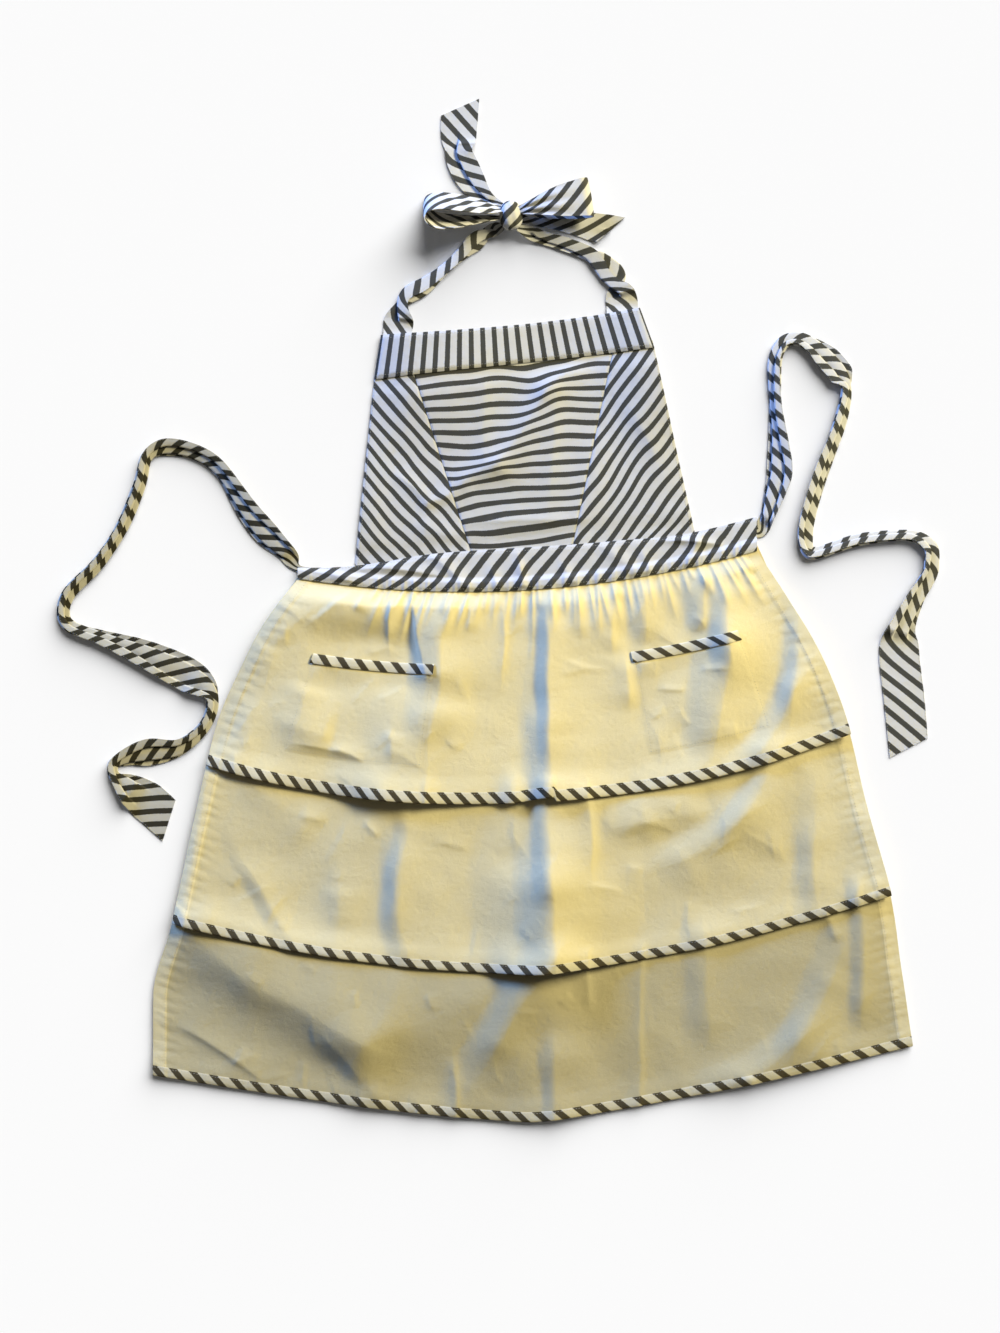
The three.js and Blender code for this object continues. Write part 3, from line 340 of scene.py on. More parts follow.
# Bow loops. Each row is a place on the middle line and the width of the cloth there.
LOOP = ("x", "y", "z", "wide")
BOW_LOOP_RIGHT = table(LOOP, (
    (0.02, 0.427, 0.016, 0.008),
    (0.04, 0.431, 0.021, 0.02),
    (0.064, 0.4355, 0.024, 0.033),
    (0.088, 0.4395, 0.024, 0.04),
    (0.097, 0.441, 0.0165, 0.042),
    (0.089, 0.4395, 0.0085, 0.04),
    (0.064, 0.4355, 0.006, 0.032),
    (0.04, 0.431, 0.0065, 0.02),
    (0.02, 0.427, 0.0075, 0.008),
))
BOW_LOOP_LEFT = table(LOOP, (
    (0.003, 0.428, 0.0145, 0.014),
    (-0.016, 0.4305, 0.0165, 0.029),
    (-0.041, 0.434, 0.0185, 0.039),
    (-0.063, 0.4365, 0.02, 0.042),
    (-0.077, 0.4335, 0.0205, 0.043),
    (-0.081, 0.426, 0.0205, 0.043),
    (-0.075, 0.4185, 0.0205, 0.043),
    (-0.06, 0.4145, 0.02, 0.04),
    (-0.039, 0.4155, 0.0175, 0.031),
    (-0.016, 0.4185, 0.013, 0.02),
    (0.003, 0.421, 0.009, 0.008),
))

# Corners of the bib's panels: the ends of its two outer edges and of its two seams
BIB_TOP = {
    "left": (-0.136, 0.247), "seam_left": (-0.092, 0.2495),
    "seam_right": (0.1215, 0.2765), "right": (0.166, 0.2805),
}
BIB_BOTTOM = {
    "left": (-0.157, 0.0475), "seam_left": (-0.0315, 0.0615),
    "seam_right": (0.08, 0.075), "right": (0.2105, 0.0825),
}
TOP_BAND_UPPER = {"left": (-0.1285, 0.295), "right": (0.1505, 0.3235)}
TOP_BAND_SAG = 0.004
BAND_CLOTH = 0.0014
BAND_REST = 0.0018
BIB_TUCK = 0.04


# Numbers on grids

NOISE_LATTICE = 64
CRUMPLE_SIZES = (0.09, 0.04)
CRUMPLE_SHARES = (0.65, 0.35)
CRUMPLE_MIDDLE = 0.5
CRUMPLE_SWING = 0.6
WRINKLE_LENGTHS = (0.018, 0.06)
WRINKLE_HEIGHTS = (0.0003, 0.001)
WRINKLE_STEEP = (0.002, 0.0035)
WRINKLE_EASY = (0.006, 0.014)
WRINKLE_BOW = 0.004
WRINKLE_POWER = 1.3
WRINKLE_END = 0.05
CREASE_FADE = 0.03
CREASE_EASE = 0.35
FOLD_EASE = 0.4
STRIPE_DRAW = 1.3
STRIPE_REACH = 0.045


def rows_at(rows, number):
    """Every column of a table at fractional row numbers.

    A cubic through the rows whose slope at a row is the mean of the steps beside it, or none where the
    two steps disagree, so the curve never runs past its rows.
    """
    count = len(next(iter(rows.values())))
    row = np.clip(np.floor(number).astype(int), 0, count - 2)
    share = np.clip(number - row, 0, 1)
    result = {}
    for name, column in rows.items():
        steps = np.diff(column)
        slope = np.concatenate((steps[:1], (steps[:-1] + steps[1:]) / 2, steps[-1:]))
        slope[1:-1][steps[:-1] * steps[1:] <= 0] = 0
        result[name] = (
            (2 * share**3 - 3 * share**2 + 1) * column[row]
            + (share**3 - 2 * share**2 + share) * slope[row]
            + (3 * share**2 - 2 * share**3) * column[row + 1]
            + (share**3 - share**2) * slope[row + 1]
        )
    return result


def rows_where(rows, key, value):
    """Every column of a table where one of its columns, which only rises, has the given values."""
    column = rows[key]
    return rows_at(rows, np.interp(value, column, np.arange(len(column))))


def smooth(value, low, high):
    """0 below low, 1 above high, and a cubic ease between."""
    share = np.clip((value - low) / (high - low), 0, 1)
    return share * share * (3 - 2 * share)


def lerp(first, second, share):
    """The value at a share of the way from the first to the second."""
    return first + (second - first) * share


def noise(x, y, size, seed):
    """Gradient noise: at the corners of a square lattice of that size sit random slopes, and the height
    between them is the eased mix of the four slopes' planes. It runs from about -0.7 to 0.7."""
    angles = np.random.default_rng(seed).uniform(0, 2 * np.pi, (NOISE_LATTICE, NOISE_LATTICE))
    column = np.floor(x / size).astype(int)
    row = np.floor(y / size).astype(int)
    right = x / size - column
    up = y / size - row

    def plane(i, j):
        angle = angles[(column + i) % NOISE_LATTICE, (row + j) % NOISE_LATTICE]
        return np.cos(angle) * (right - i) + np.sin(angle) * (up - j)

    ease_right = right**3 * (right * (6 * right - 15) + 10)
    ease_up = up**3 * (up * (6 * up - 15) + 10)
    low = lerp(plane(0, 0), plane(1, 0), ease_right)
    high = lerp(plane(0, 1), plane(1, 1), ease_right)
    return lerp(low, high, ease_up)


def crumple(x, y, seed):
    """Unevenness of washed cotton, from 0 to about 1: broad swells and smaller dents."""
    swell = CRUMPLE_MIDDLE + CRUMPLE_SWING * noise(x, y, CRUMPLE_SIZES[0], seed)
    dent = CRUMPLE_MIDDLE + CRUMPLE_SWING * noise(x, y, CRUMPLE_SIZES[1], seed + 1)
    return CRUMPLE_SHARES[0] * swell + CRUMPLE_SHARES[1] * dent


def wrinkles(box, count, seed):
    """A table of small sharp creases strewn at random over a box of the plane, each steep on its right
    and easy on its left."""
    dice = np.random.default_rng(seed)
    x, y = (dice.uniform(low, high, count) for low, high in box)
    length = dice.uniform(*WRINKLE_LENGTHS, count)
    angle = dice.uniform(0, 2 * np.pi, count)
    steep = dice.uniform(*WRINKLE_STEEP, count)
    easy = dice.uniform(*WRINKLE_EASY, count)
    bow = dice.uniform(-WRINKLE_BOW, WRINKLE_BOW, count)
    height = dice.uniform(*WRINKLE_HEIGHTS, count)
    power = np.full(count, WRINKLE_POWER)
    end = np.full(count, WRINKLE_END)
    far_x = x + length * np.cos(angle)
    far_y = y + length * np.sin(angle)
    return dict(zip(CREASE, (x, y, far_x, far_y, bow, height, steep, easy, power, end, end)))


def beside_creases(rows, x, y):
    """For each crease of a table its row, how far each point of the plane is off the crease to its left,
    and the crease's height beside the point.

    A point is measured along the straight line of the crease and off it, less the bow. The height goes
    from the head's share to the full one and on to the tail's, and dies away past the two ends.
    """
    for values in zip(*rows.values()):
        row = dict(zip(rows, values))
        length = math.hypot(row["x1"] - row["x0"], row["y1"] - row["y0"])
        run = (row["x1"] - row["x0"]) / length, (row["y1"] - row["y0"]) / length
        along = ((x - row["x0"]) * run[0] + (y - row["y0"]) * run[1]) / length
        inside = np.clip(along, 0, 1)
        bow = row["bow"] * 4 * inside * (1 - inside)
        off = (y - row["y0"]) * run[0] - (x - row["x0"]) * run[1] - bow
        beyond = (along - inside) * length / min(0.5 * (row["left"] + row["right"]), CREASE_FADE)
        growing = lerp(row["head"], 1, smooth(inside, 0, CREASE_EASE))
        shrinking = lerp(row["tail"], 1, smooth(1 - inside, 0, CREASE_EASE))
        yield row, off, row["height"] * growing * shrinking * np.exp(-(beyond**2))


def creases(rows, x, y):
    """Height of a table of creases over the points of the plane: exp(-(off / spread)^power) times the
    crease's height. A power of 1 makes a fold instead: an S curve up on the right of the crease and a
    long ease down on its left."""
    relief = np.zeros(np.broadcast(x, y).shape)
    for row, off, height in beside_creases(rows, x, y):
        away = np.abs(off) / np.where(off > 0, row["left"], row["right"])
        share = np.clip(1 - away, 0, 1)
        if row["power"] > 1:
            profile = np.exp(-(away ** row["power"]))
        else:
            eased = (share + FOLD_EASE) / (1 + FOLD_EASE)
            profile = share * np.where(off > 0, eased, share * (3 - 2 * share))
        relief = relief + height * profile
    return relief


def drawn_stripes(rows, x, y, wave, seed):
    """How far the stripes are drawn aside: opposite ways on the two sides of each crease, as
    tanh(off / spread) fading with the distance, and a slow random wave everywhere."""
    shift = wave * noise(x, y, STRIPE_REACH, seed)
    for row, off, height in beside_creases(rows, x, y):
        near = np.exp(-((off / STRIPE_REACH) ** 2))
        shift = shift + STRIPE_DRAW * height * np.tanh(off / row["right"]) * near
    return shift


# Meshes

SHARP_ANGLE = 50
LEAST_LENGTH = 1e-12


def unit(vectors):
    """Vectors of the same directions with a length of 1."""
    return vectors / np.maximum(np.linalg.norm(vectors, axis=-1, keepdims=True), LEAST_LENGTH)


def normals_of(grid):
    """Unit normals of a grid of points: across the run of its rows and that of its columns."""
    return unit(np.cross(np.gradient(grid, axis=0), np.gradient(grid, axis=1)))


def run_lengths(line):
    """Length along a line of points up to each of them."""
    steps = np.linalg.norm(np.diff(line, axis=0), axis=-1)
    return np.concatenate(([0], np.cumsum(steps)))


def turned(along, across, degrees):
    """Cloth coordinates whose first one runs across stripes that lie at an angle to the run."""
    angle = math.radians(degrees)
    first = across * math.cos(angle) - along * math.sin(angle)
    second = along * math.cos(angle) + across * math.sin(angle)
    return np.stack(np.broadcast_arrays(first, second), axis=-1)


def mesh_object(name, points, faces, uv, material, sharp=SHARP_ANGLE):
    """A smooth-shaded object from points, faces with the same number of corners, and a cloth
    coordinate for each point or for each corner of each face. Edges past the sharp angle stay sharp."""
    mesh = bpy.data.meshes.new(name)
    count, corners = faces.shape
    mesh.vertices.add(len(points))
    mesh.vertices.foreach_set("co", points.astype(np.float32).ravel())
    mesh.loops.add(count * corners)
    mesh.loops.foreach_set("vertex_index", faces.astype(np.int32).ravel())
    mesh.polygons.add(count)
    mesh.polygons.foreach_set("loop_start", np.arange(0, count * corners, corners, dtype=np.int32))
    mesh.polygons.foreach_set("use_smooth", np.ones(count, dtype=bool))
    layer = mesh.uv_layers.new(name="cloth")
    corner_uv = uv if len(uv) == faces.size else uv[faces.ravel()]
    layer.data.foreach_set("uv", corner_uv.astype(np.float32).ravel())
    mesh.update(calc_edges=True)
    if mesh.validate():
        raise RuntimeError(f"{name}: the mesh had faults")
    mesh.set_sharp_from_angle(angle=math.radians(sharp))
    piece = bpy.data.objects.new(name, mesh)
    bpy.context.scene.collection.objects.link(piece)
    mesh.materials.append(material)
    return piece


def wall_faces(rows, columns):
    """Corner numbers of the quads of a closed wall: a front grid, the back grid the other way round, and
    a strip of quads along each of the four rims."""
    index = np.arange(2 * rows * columns).reshape(2, rows, columns)
    a, b = index[:, :-1, :-1], index[:, 1:, :-1]
    c, d = index[:, 1:, 1:], index[:, :-1, 1:]
    front = np.stack((a[0], b[0], c[0], d[0]), axis=-1).reshape(-1, 4)
    back = np.stack((a[1], d[1], c[1], b[1]), axis=-1).reshape(-1, 4)

    def strip(top, bottom):
        return np.stack((top[:-1], bottom[:-1], bottom[1:], top[1:]), axis=-1)

    rims = (
        strip(index[0, :, 0], index[1, :, 0]),
        strip(index[1, :, -1], index[0, :, -1]),
        strip(index[1, 0], index[0, 0]),
        strip(index[0, -1], index[1, -1]),
    )
    return np.concatenate((front, back, *rims))


def wall(name, front, back, uv, material):
    """A closed wall between a front and a back grid of points, with its faces turned outwards: the sum
    of its faces' areas along the way from its middle has to be positive."""
    rows, columns, _ = front.shape
    points = np.concatenate((front.reshape(-1, 3), back.reshape(-1, 3)))
    faces = wall_faces(rows, columns)
    both = np.concatenate((uv.reshape(-1, 2), uv.reshape(-1, 2)))
    corners = points[faces]
    middle = points.mean(axis=0)
    spans = np.cross(corners[:, 2] - corners[:, 0], corners[:, 3] - corners[:, 1])
    if np.sum((corners[:, 0] - middle) * spans) < 0:
        faces = faces[:, ::-1]
    return mesh_object(name, points, faces, both, material)


def cloth_wall(name, grid, thickness, uv, material):
    """A wall of even thickness about a grid of points in its middle."""
    offset = normals_of(grid) * thickness / 2
    return wall(name, grid + offset, grid - offset, uv, material)


def piece_of(piece, node):
    """Ties a finished piece to the frame: it rides on root and stands for its node, which is hidden."""
    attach(piece, "root")
    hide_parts(node)
    return piece


# Cloth of the skirt

CRUMPLE_HEIGHT = 0.005
WAIST_CRUMPLE = 0.1
WAIST_CRUMPLE_EASE = (0, 0.08)
GATHER_SEED = 5
GATHER_COUNT = 48
GATHER_JITTER = 0.4
GATHER_REACH = (0.17, 0.97)
GATHER_LENGTHS = (0.03, 0.12)
GATHER_HEIGHTS = (0.0016, 0.004)
GATHER_LEAN = 0.12
GATHER_WIDTHS = (0.004, 0.011)
GATHER_SEAM_SHARE = 0.25
GATHER_PUFF = (-0.004, 0.028)
GATHER_HOLD = 0.3
GATHER_POWER = 1.35
CREASE_TABLES = {"base": BASE_CREASES, "middle": MIDDLE_CREASES, "top": TOP_CREASES}
WAIST_CREASES = 0.15
WAIST_CREASES_EASE = (-0.002, 0.035)
WANDER = 0.006
WANDER_SIZE = 0.06
WRINKLE_COUNT = 45
WRINKLE_BOXES = {
    "base": ((-0.38, 0.44), (-0.53, -0.33)),
    "middle": ((-0.34, 0.42), (-0.37, -0.17)),
    "top": ((-0.3, 0.36), (-0.2, 0.02)),
}
SIDE_HEM = 0.0145
SIDE_HEM_EASE = 0.0015
SIDE_HEM_STEP = 0.0006
PUCKER = 0.0005
PUCKER_LENGTH = 0.011
PUCKER_SLANT = 0.35
PUCKER_WOBBLE = 0.4
PUCKER_WOBBLE_SIZE = 0.02
PUCKER_REACH = 0.012
# Rises of each hem off the layer below: the middle, the half width and the height of each
HEM_RISES = {
    "base": ((-0.12, 0.05, 0.002), (0.06, 0.03, 0.003), (0.28, 0.06, 0.002)),
    "middle": ((0.012, 0.016, 0.004), (-0.2, 0.05, 0.002), (0.25, 0.05, 0.002)),
    "top": ((-0.13, 0.028, 0.006), (0.014, 0.013, 0.005), (0.2, 0.05, 0.002)),
}
HEM_RISE_SHARE = 0.08
# How a layer's creases and wrinkles come in, counted from where it starts to show
CREASES_EASE = (-0.06, 0.02)
WRINKLES_EASE = (0.03, 0.08)
# The stretch of the top hem that is drawn up into the middle fold
DRAWN_UP = 0.0045
DRAWN_UP_LEFT = (0.012, 0.054)
DRAWN_UP_RIGHT = (0.0575, 0.061)
DRAWN_UP_EASE = (0.34, 0.4)


def skirt_plane(across, down):
    """Where a place on the skirt lies on the table: along the straight line between the two ends of its
    section, less the sag, plus the hidden tuck above the waist seam."""
    section = rows_where(SKIRT_SECTIONS, "down", down)
    drop = section["sag"] * (1 - np.abs(2 * across - 1) ** section["round"])
    tuck = lerp(LEFT_TUCK, 1, smooth(across, 0, LEFT_TUCK_ENDS))
    hidden = np.maximum(-down, 0) * SKIRT_LENGTH * tuck
    x = lerp(section["left_x"], section["right_x"], across)
    y = lerp(section["left_y"], section["right_y"], across) - drop + hidden
    return x, y


def gathers(across, down):
    """Height of the waist gathers: crests at uneven places across the waist that start small in the
    seam, puff out just below it, widen and lean a little on the way down, and die away."""
    dice = np.random.default_rng(GATHER_SEED)
    places = np.linspace(*GATHER_REACH, GATHER_COUNT)
    places = places + dice.uniform(-GATHER_JITTER, GATHER_JITTER, GATHER_COUNT) * (places[1] - places[0])
    lengths = dice.uniform(*GATHER_LENGTHS, GATHER_COUNT)
    heights = dice.uniform(*GATHER_HEIGHTS, GATHER_COUNT)
    leans = dice.uniform(-GATHER_LEAN, GATHER_LEAN, GATHER_COUNT)
    height = np.zeros(np.broadcast(across, down).shape)
    for place, length, high, lean in zip(places, lengths, heights, leans):
        width = lerp(GATHER_WIDTHS[0], GATHER_WIDTHS[1], np.clip(down / length, 0, 1))
        off = np.abs(across - place - lean * np.maximum(down, 0)) / width
        rise = lerp(GATHER_SEAM_SHARE, 1, smooth(down, *GATHER_PUFF))
        fall = 1 - smooth(down, GATHER_HOLD * length, length)
        height = height + high * rise * fall * np.exp(-(off**GATHER_POWER))
    return height


def side_distance(across, down):
    """Distance of a place on the skirt from the nearer side edge."""
    section = rows_where(SKIRT_SECTIONS, "down", down)
    return np.minimum(across, 1 - across) * (section["right_x"] - section["left_x"])


def mark_inward(piece, inward):
    """Notes on both faces of a wall how far each point is from the side edge of the skirt, which places
    the painted lighter colour of the turned side edges.
    """
    marks = piece.data.attributes.new("inward", "FLOAT", "POINT")
    marks.data.foreach_set("value", np.tile(inward.ravel(), 2).astype(np.float32))


def side_hem(across, down, x, y, seed):
    """The turned side edges: a step up within the hem's width of the edge, with small slanting puckers
    along it."""
    inward = side_distance(across, down)
    inside = 1 - smooth(inward, SIDE_HEM - SIDE_HEM_EASE, SIDE_HEM + SIDE_HEM_EASE)
    wobble = PUCKER_WOBBLE * noise(x, y, PUCKER_WOBBLE_SIZE, seed)
    pucker = np.abs(np.sin(np.pi * ((y + PUCKER_SLANT * inward) / PUCKER_LENGTH + wobble)))
    near = np.exp(-(((inward - SIDE_HEM) / PUCKER_REACH) ** 2))
    return SIDE_HEM_STEP * inside + PUCKER * near * pucker


def layer_under(name, across, down, wrinkled=True):
    """Height of the underside of a layer over the table.

    The base lies on the unevenness that all layers share; each other layer lies on the one below and
    its cloth. A layer adds its creases, its wrinkles and turned side edges where it shows, the lift over
    its bound hem and, on the top tier, the gathers.
    """
    layer = LAYERS[name]
    x, y = skirt_plane(across, down)
    if "under" in layer:
        support = layer_under(layer["under"], across, down, False) + LAYER_STEP
    else:
        flattened = lerp(WAIST_CRUMPLE, 1, smooth(down, *WAIST_CRUMPLE_EASE))
        support = CRUMPLE_HEIGHT * crumple(x, y, layer["seed"]) * flattened
    hem = layer["hem"]
    lift = HEM_LIFT * smooth(down, hem - 3 * TAPE_SHARE, hem - TAPE_SHARE)
    for place, half, height in HEM_RISES[name]:
        rise = height * np.exp(-(((x - place) / half) ** 2))
        lift = lift + rise * smooth(down, hem - HEM_RISE_SHARE, hem)
    bent_x = x + WANDER * noise(x, y, WANDER_SIZE, layer["seed"] + 7)
    bent_y = y + WANDER * noise(x, y, WANDER_SIZE, layer["seed"] + 8)
    relief = creases(CREASE_TABLES[name], bent_x, bent_y)
    shows = layer["shows"]
    if name == "top":
        below_seam = lerp(WAIST_CREASES, 1, smooth(down, *WAIST_CREASES_EASE))
        relief = relief * below_seam + gathers(across, down)
        shown = 1
    else:
        shown = smooth(down, shows + CREASES_EASE[0], shows + CREASES_EASE[1])
    if wrinkled:
        small = creases(wrinkles(WRINKLE_BOXES[name], WRINKLE_COUNT, layer["seed"]), x, y)
        relief = relief + small * smooth(down, shows + WRINKLES_EASE[0], shows + WRINKLES_EASE[1])
        relief = relief + side_hem(across, down, x, y, layer["seed"])
    return support + relief * shown + lift


def layer_grid(name, across, down):
    """Points of the underside of a layer. The hem of the top tier is drawn up into the middle fold on
    the fold's left side."""
    x, y = skirt_plane(across, down)
    z = layer_under(name, across, down)
    if name == "top":
        drawn = smooth(x, *DRAWN_UP_LEFT) * (1 - smooth(x, *DRAWN_UP_RIGHT))
        y = y + DRAWN_UP * drawn * smooth(down, *DRAWN_UP_EASE)
    return np.stack(np.broadcast_arrays(x, y, z), axis=-1)


def skirt_rows(layer):
    """Rows down a layer: a few where it is hidden and many where it shows."""
    hidden = np.linspace(-TUCK_SHARE, layer["shows"], HIDDEN_ROWS)[:-1]
    shown = np.linspace(layer["shows"], layer["hem"], layer["rows"])
    return np.unique(np.concatenate((hidden if layer["shows"] > 0 else shown[:1], shown)))


def raised(grid, height):
    """A grid of points lifted by a height at each of them."""
    return grid + np.array((0, 0, 1)) * np.asarray(height)[..., None]


TAPE_PUFF = 0.0005
TAPE_COLUMNS = 520
TAPE_ROWS = 6
TAPE_TURNS = 7
TAPE_ANGLE = -46


def bound_edge(name, rows, outward, along_angle, pitch, layers=3):
    """Bias tape folded round a cloth edge.

    The rows are lines of points on the cloth's underside from the tape's inner edge to the cloth's edge.
    The tape runs over them a gap above the cloth, round the edge in a half circle and back below them.
    Its stripes repeat at the given pitch along the edge.
    """
    count = len(rows)
    share = np.linspace(0, 1, count)[:, None]
    puff = TAPE_PUFF * np.sqrt(np.clip(1 - (2 * share - 1) ** 4, 0, 1))
    above = SKIRT_CLOTH + TAPE_GAP
    turn = np.linspace(np.pi / 2, -np.pi / 2, TAPE_TURNS)[1:-1, None]
    middle = SKIRT_CLOTH / 2
    edge = rows[-1]

    def skin(depth):
        over = raised(rows, above + depth * TAPE_CLOTH + puff * depth)
        radius = middle + TAPE_GAP + depth * TAPE_CLOTH
        out = (radius * np.cos(turn))[..., None] * outward
        round_edge = raised(edge + out, middle + radius * np.sin(turn))
        below = raised(rows[::-1], np.full((count, 1), -TAPE_GAP - depth * TAPE_CLOTH))
        return np.concatenate((over, round_edge, below))

    outside, inside = skin(1), skin(0)
    along = run_lengths(edge)[None, :]
    steps = np.linalg.norm(np.diff(outside, axis=0, prepend=outside[:1]), axis=-1)
    across = np.cumsum(steps.mean(axis=1))
    woven = bpy.context.scene.apron_cloth.stripe_pitch
    stretch = pitch * math.sin(math.radians(abs(along_angle)))
    uv = turned(along, -across[:, None], along_angle) * woven / stretch
    # The tape's material is painted darker over fewer layers of cloth, a painted shade
    return wall(name, outside, inside, uv, bias_tape(layers))


def outward_of(rows):
    """Level unit vectors that point out of the cloth at its edge."""
    out = rows[-1] - rows[0]
    out[..., 2] = 0
    return unit(out)


# Materials

SLUB_STRETCH = (1, 0.06, 1)
SLUB_SCALE = 900
CRINKLE_BROAD = 26
CRINKLE_FINE = 85
CRINKLE_FINE_ROUGHNESS = 0.6
CRINKLE_RIDGE = -0.7
TONE_SCALE = 9
WAVER_SCALE = 700
STRIPE_WAVER = 0.0004
STRIPE_SOFTNESS = 0.02
CLOTH_ROUGHNESS = 0.92
CLOTH_SPECULAR = 0.15
THREAD_ROUGHNESS = 0.8
# Half the width of the blend into the painted lighter colour of the turned side edges
SIDE_HEM_LINE = 0.0005
WEAVE_SHARE = 0.12
BUMP_STRENGTH = 0.6
# Painted shade: the left waist tie's light and dark stripes are multiplied by these, darker and
# creamier, as if it lay in dimmer, warmer light
LEFT_TIE_PAINTED_SHADE_LIGHT = (0.84, 0.8, 0.66)
LEFT_TIE_PAINTED_SHADE_DARK = (0.6, 0.54, 0.36)
# Painted shade of the bias tape, by how many layers of cloth lie under it
TAPE_PAINTED_SHADES = {1: 0.86, 2: 0.88, 3: 1}
TAPE_LIGHT_DEEP = 0.94
TAPE_DARK_DEEP = 0.7


def group_of(name, inputs, outputs):
    """An empty shader node group with named sockets, and its input and output nodes."""
    group = bpy.data.node_groups.new(name, "ShaderNodeTree")
    for label, kind in inputs:
        group.interface.new_socket(name=label, in_out="INPUT", socket_type=kind)
    for label, kind in outputs:
        group.interface.new_socket(name=label, in_out="OUTPUT", socket_type=kind)
    return group, group.nodes.new("NodeGroupInput"), group.nodes.new("NodeGroupOutput")


def math_node(tree, operation, first, second=None, third=None):
    """A Math node; each operand is a socket or a number. Returns its output socket."""
    node = tree.nodes.new("ShaderNodeMath")
    node.operation = operation
    for socket, value in zip(node.inputs, (first, second, third)):
        if isinstance(value, bpy.types.NodeSocket):
            tree.links.new(value, socket)
        elif value is not None:
            socket.default_value = value
    return node.outputs[0]


def noise_node(tree, vector, scale, detail=3.0, roughness=0.55):
    """A Noise Texture node on a coordinate. Returns its factor socket."""
    node = tree.nodes.new("ShaderNodeTexNoise")
    node.inputs["Scale"].default_value = scale
    node.inputs["Detail"].default_value = detail
    node.inputs["Roughness"].default_value = roughness
    tree.links.new(vector, node.inputs["Vector"])
    return node.outputs["Fac"]


def weave_group():
    """Plain weave: the height is the product of a sine along the warp and one along the weft, so that
    threads rise in a checker pattern, plus uneven thread thickness."""
    group, start, end = group_of(
        "plain_weave",
        (("Cloth", "NodeSocketVector"), ("Threads", "NodeSocketFloat")),
        (("Height", "NodeSocketFloat"), ("Slub", "NodeSocketFloat")),
    )
    parts = group.nodes.new("ShaderNodeSeparateXYZ")
    group.links.new(start.outputs["Cloth"], parts.inputs[0])
    warp, weft = (
        math_node(group, "SINE", math_node(group, "MULTIPLY", place, start.outputs["Threads"]))
        for place in parts.outputs[:2]
    )
    height = math_node(group, "MULTIPLY_ADD", math_node(group, "MULTIPLY", warp, weft), 0.5, 0.5)
    stretched = group.nodes.new("ShaderNodeMapping")
    stretched.inputs["Scale"].default_value = SLUB_STRETCH
    group.links.new(start.outputs["Cloth"], stretched.inputs["Vector"])
    slub = noise_node(group, stretched.outputs[0], SLUB_SCALE, 2)
    group.links.new(height, end.inputs["Height"])
    group.links.new(slub, end.inputs["Slub"])
    return group


def crinkle_group():
    """Small wrinkles left by washing: two sizes of noise, the finer one folded into ridges, and a broad
    third one for the tone of the cloth."""
    group, start, end = group_of(
        "washed_crinkle",
        (("Place", "NodeSocketVector"),),
        (("Height", "NodeSocketFloat"), ("Tone", "NodeSocketFloat")),
    )
    place = start.outputs["Place"]
    broad = noise_node(group, place, CRINKLE_BROAD, 3)
    fine = noise_node(group, place, CRINKLE_FINE, 4, CRINKLE_FINE_ROUGHNESS)
    fold = math_node(group, "ABSOLUTE", math_node(group, "SUBTRACT", fine, 0.5))
    height = math_node(group, "MULTIPLY_ADD", fold, CRINKLE_RIDGE, broad)
    group.links.new(height, end.inputs["Height"])
    group.links.new(noise_node(group, place, TONE_SCALE, 2), end.inputs["Tone"])
    return group


def stripe_group():
    """Woven stripes: a mask that is 1 in the dark share of each pitch across the stripes, with edges
    that waver by a thread."""
    group, start, end = group_of(
        "woven_stripes",
        (("Cloth", "NodeSocketVector"), ("Pitch", "NodeSocketFloat"), ("Share", "NodeSocketFloat")),
        (("Mask", "NodeSocketFloat"),),
    )
    parts = group.nodes.new("ShaderNodeSeparateXYZ")
    group.links.new(start.outputs["Cloth"], parts.inputs[0])
    uneven = noise_node(group, start.outputs["Cloth"], WAVER_SCALE, 2)
    waver = math_node(group, "MULTIPLY_ADD", uneven, 2 * STRIPE_WAVER, -STRIPE_WAVER)
    shifted = math_node(group, "ADD", parts.outputs[0], waver)
    place = math_node(group, "DIVIDE", shifted, start.outputs["Pitch"])
    wave = math_node(group, "PINGPONG", place, 0.5)
    half = math_node(group, "MULTIPLY", start.outputs["Share"], 0.5)
    soft = group.nodes.new("ShaderNodeMapRange")
    soft.interpolation_type = "SMOOTHSTEP"
    soft.inputs["To Min"].default_value = 1
    soft.inputs["To Max"].default_value = 0
    group.links.new(wave, soft.inputs["Value"])
    group.links.new(math_node(group, "SUBTRACT", half, STRIPE_SOFTNESS), soft.inputs["From Min"])
    group.links.new(math_node(group, "ADD", half, STRIPE_SOFTNESS), soft.inputs["From Max"])
    group.links.new(soft.outputs[0], end.inputs["Mask"])
    return group


def mix_node(tree, factor, first, second):
    """A colour mix; each colour is a socket or an RGB value. Returns its output socket."""
    node = tree.nodes.new("ShaderNodeMix")
    node.data_type = "RGBA"
    tree.links.new(factor, node.inputs["Factor"])
    for socket, value in ((node.inputs[6], first), (node.inputs[7], second)):
        if isinstance(value, bpy.types.NodeSocket):
            tree.links.new(value, socket)
        else:
            socket.default_value = (*value, 1)
    return node.outputs[2]


def placed_group(tree, name, vector, **values):
    """A node group in a material, fed with a coordinate on its first socket and set values."""
    builders = {
        "plain_weave": weave_group,
        "washed_crinkle": crinkle_group,
        "woven_stripes": stripe_group,
    }
    node = tree.nodes.new("ShaderNodeGroup")
    node.node_tree = bpy.data.node_groups.get(name) or builders[name]()
    tree.links.new(vector, node.inputs[0])
    for label, value in values.items():
        node.inputs[label].default_value = value
    return node


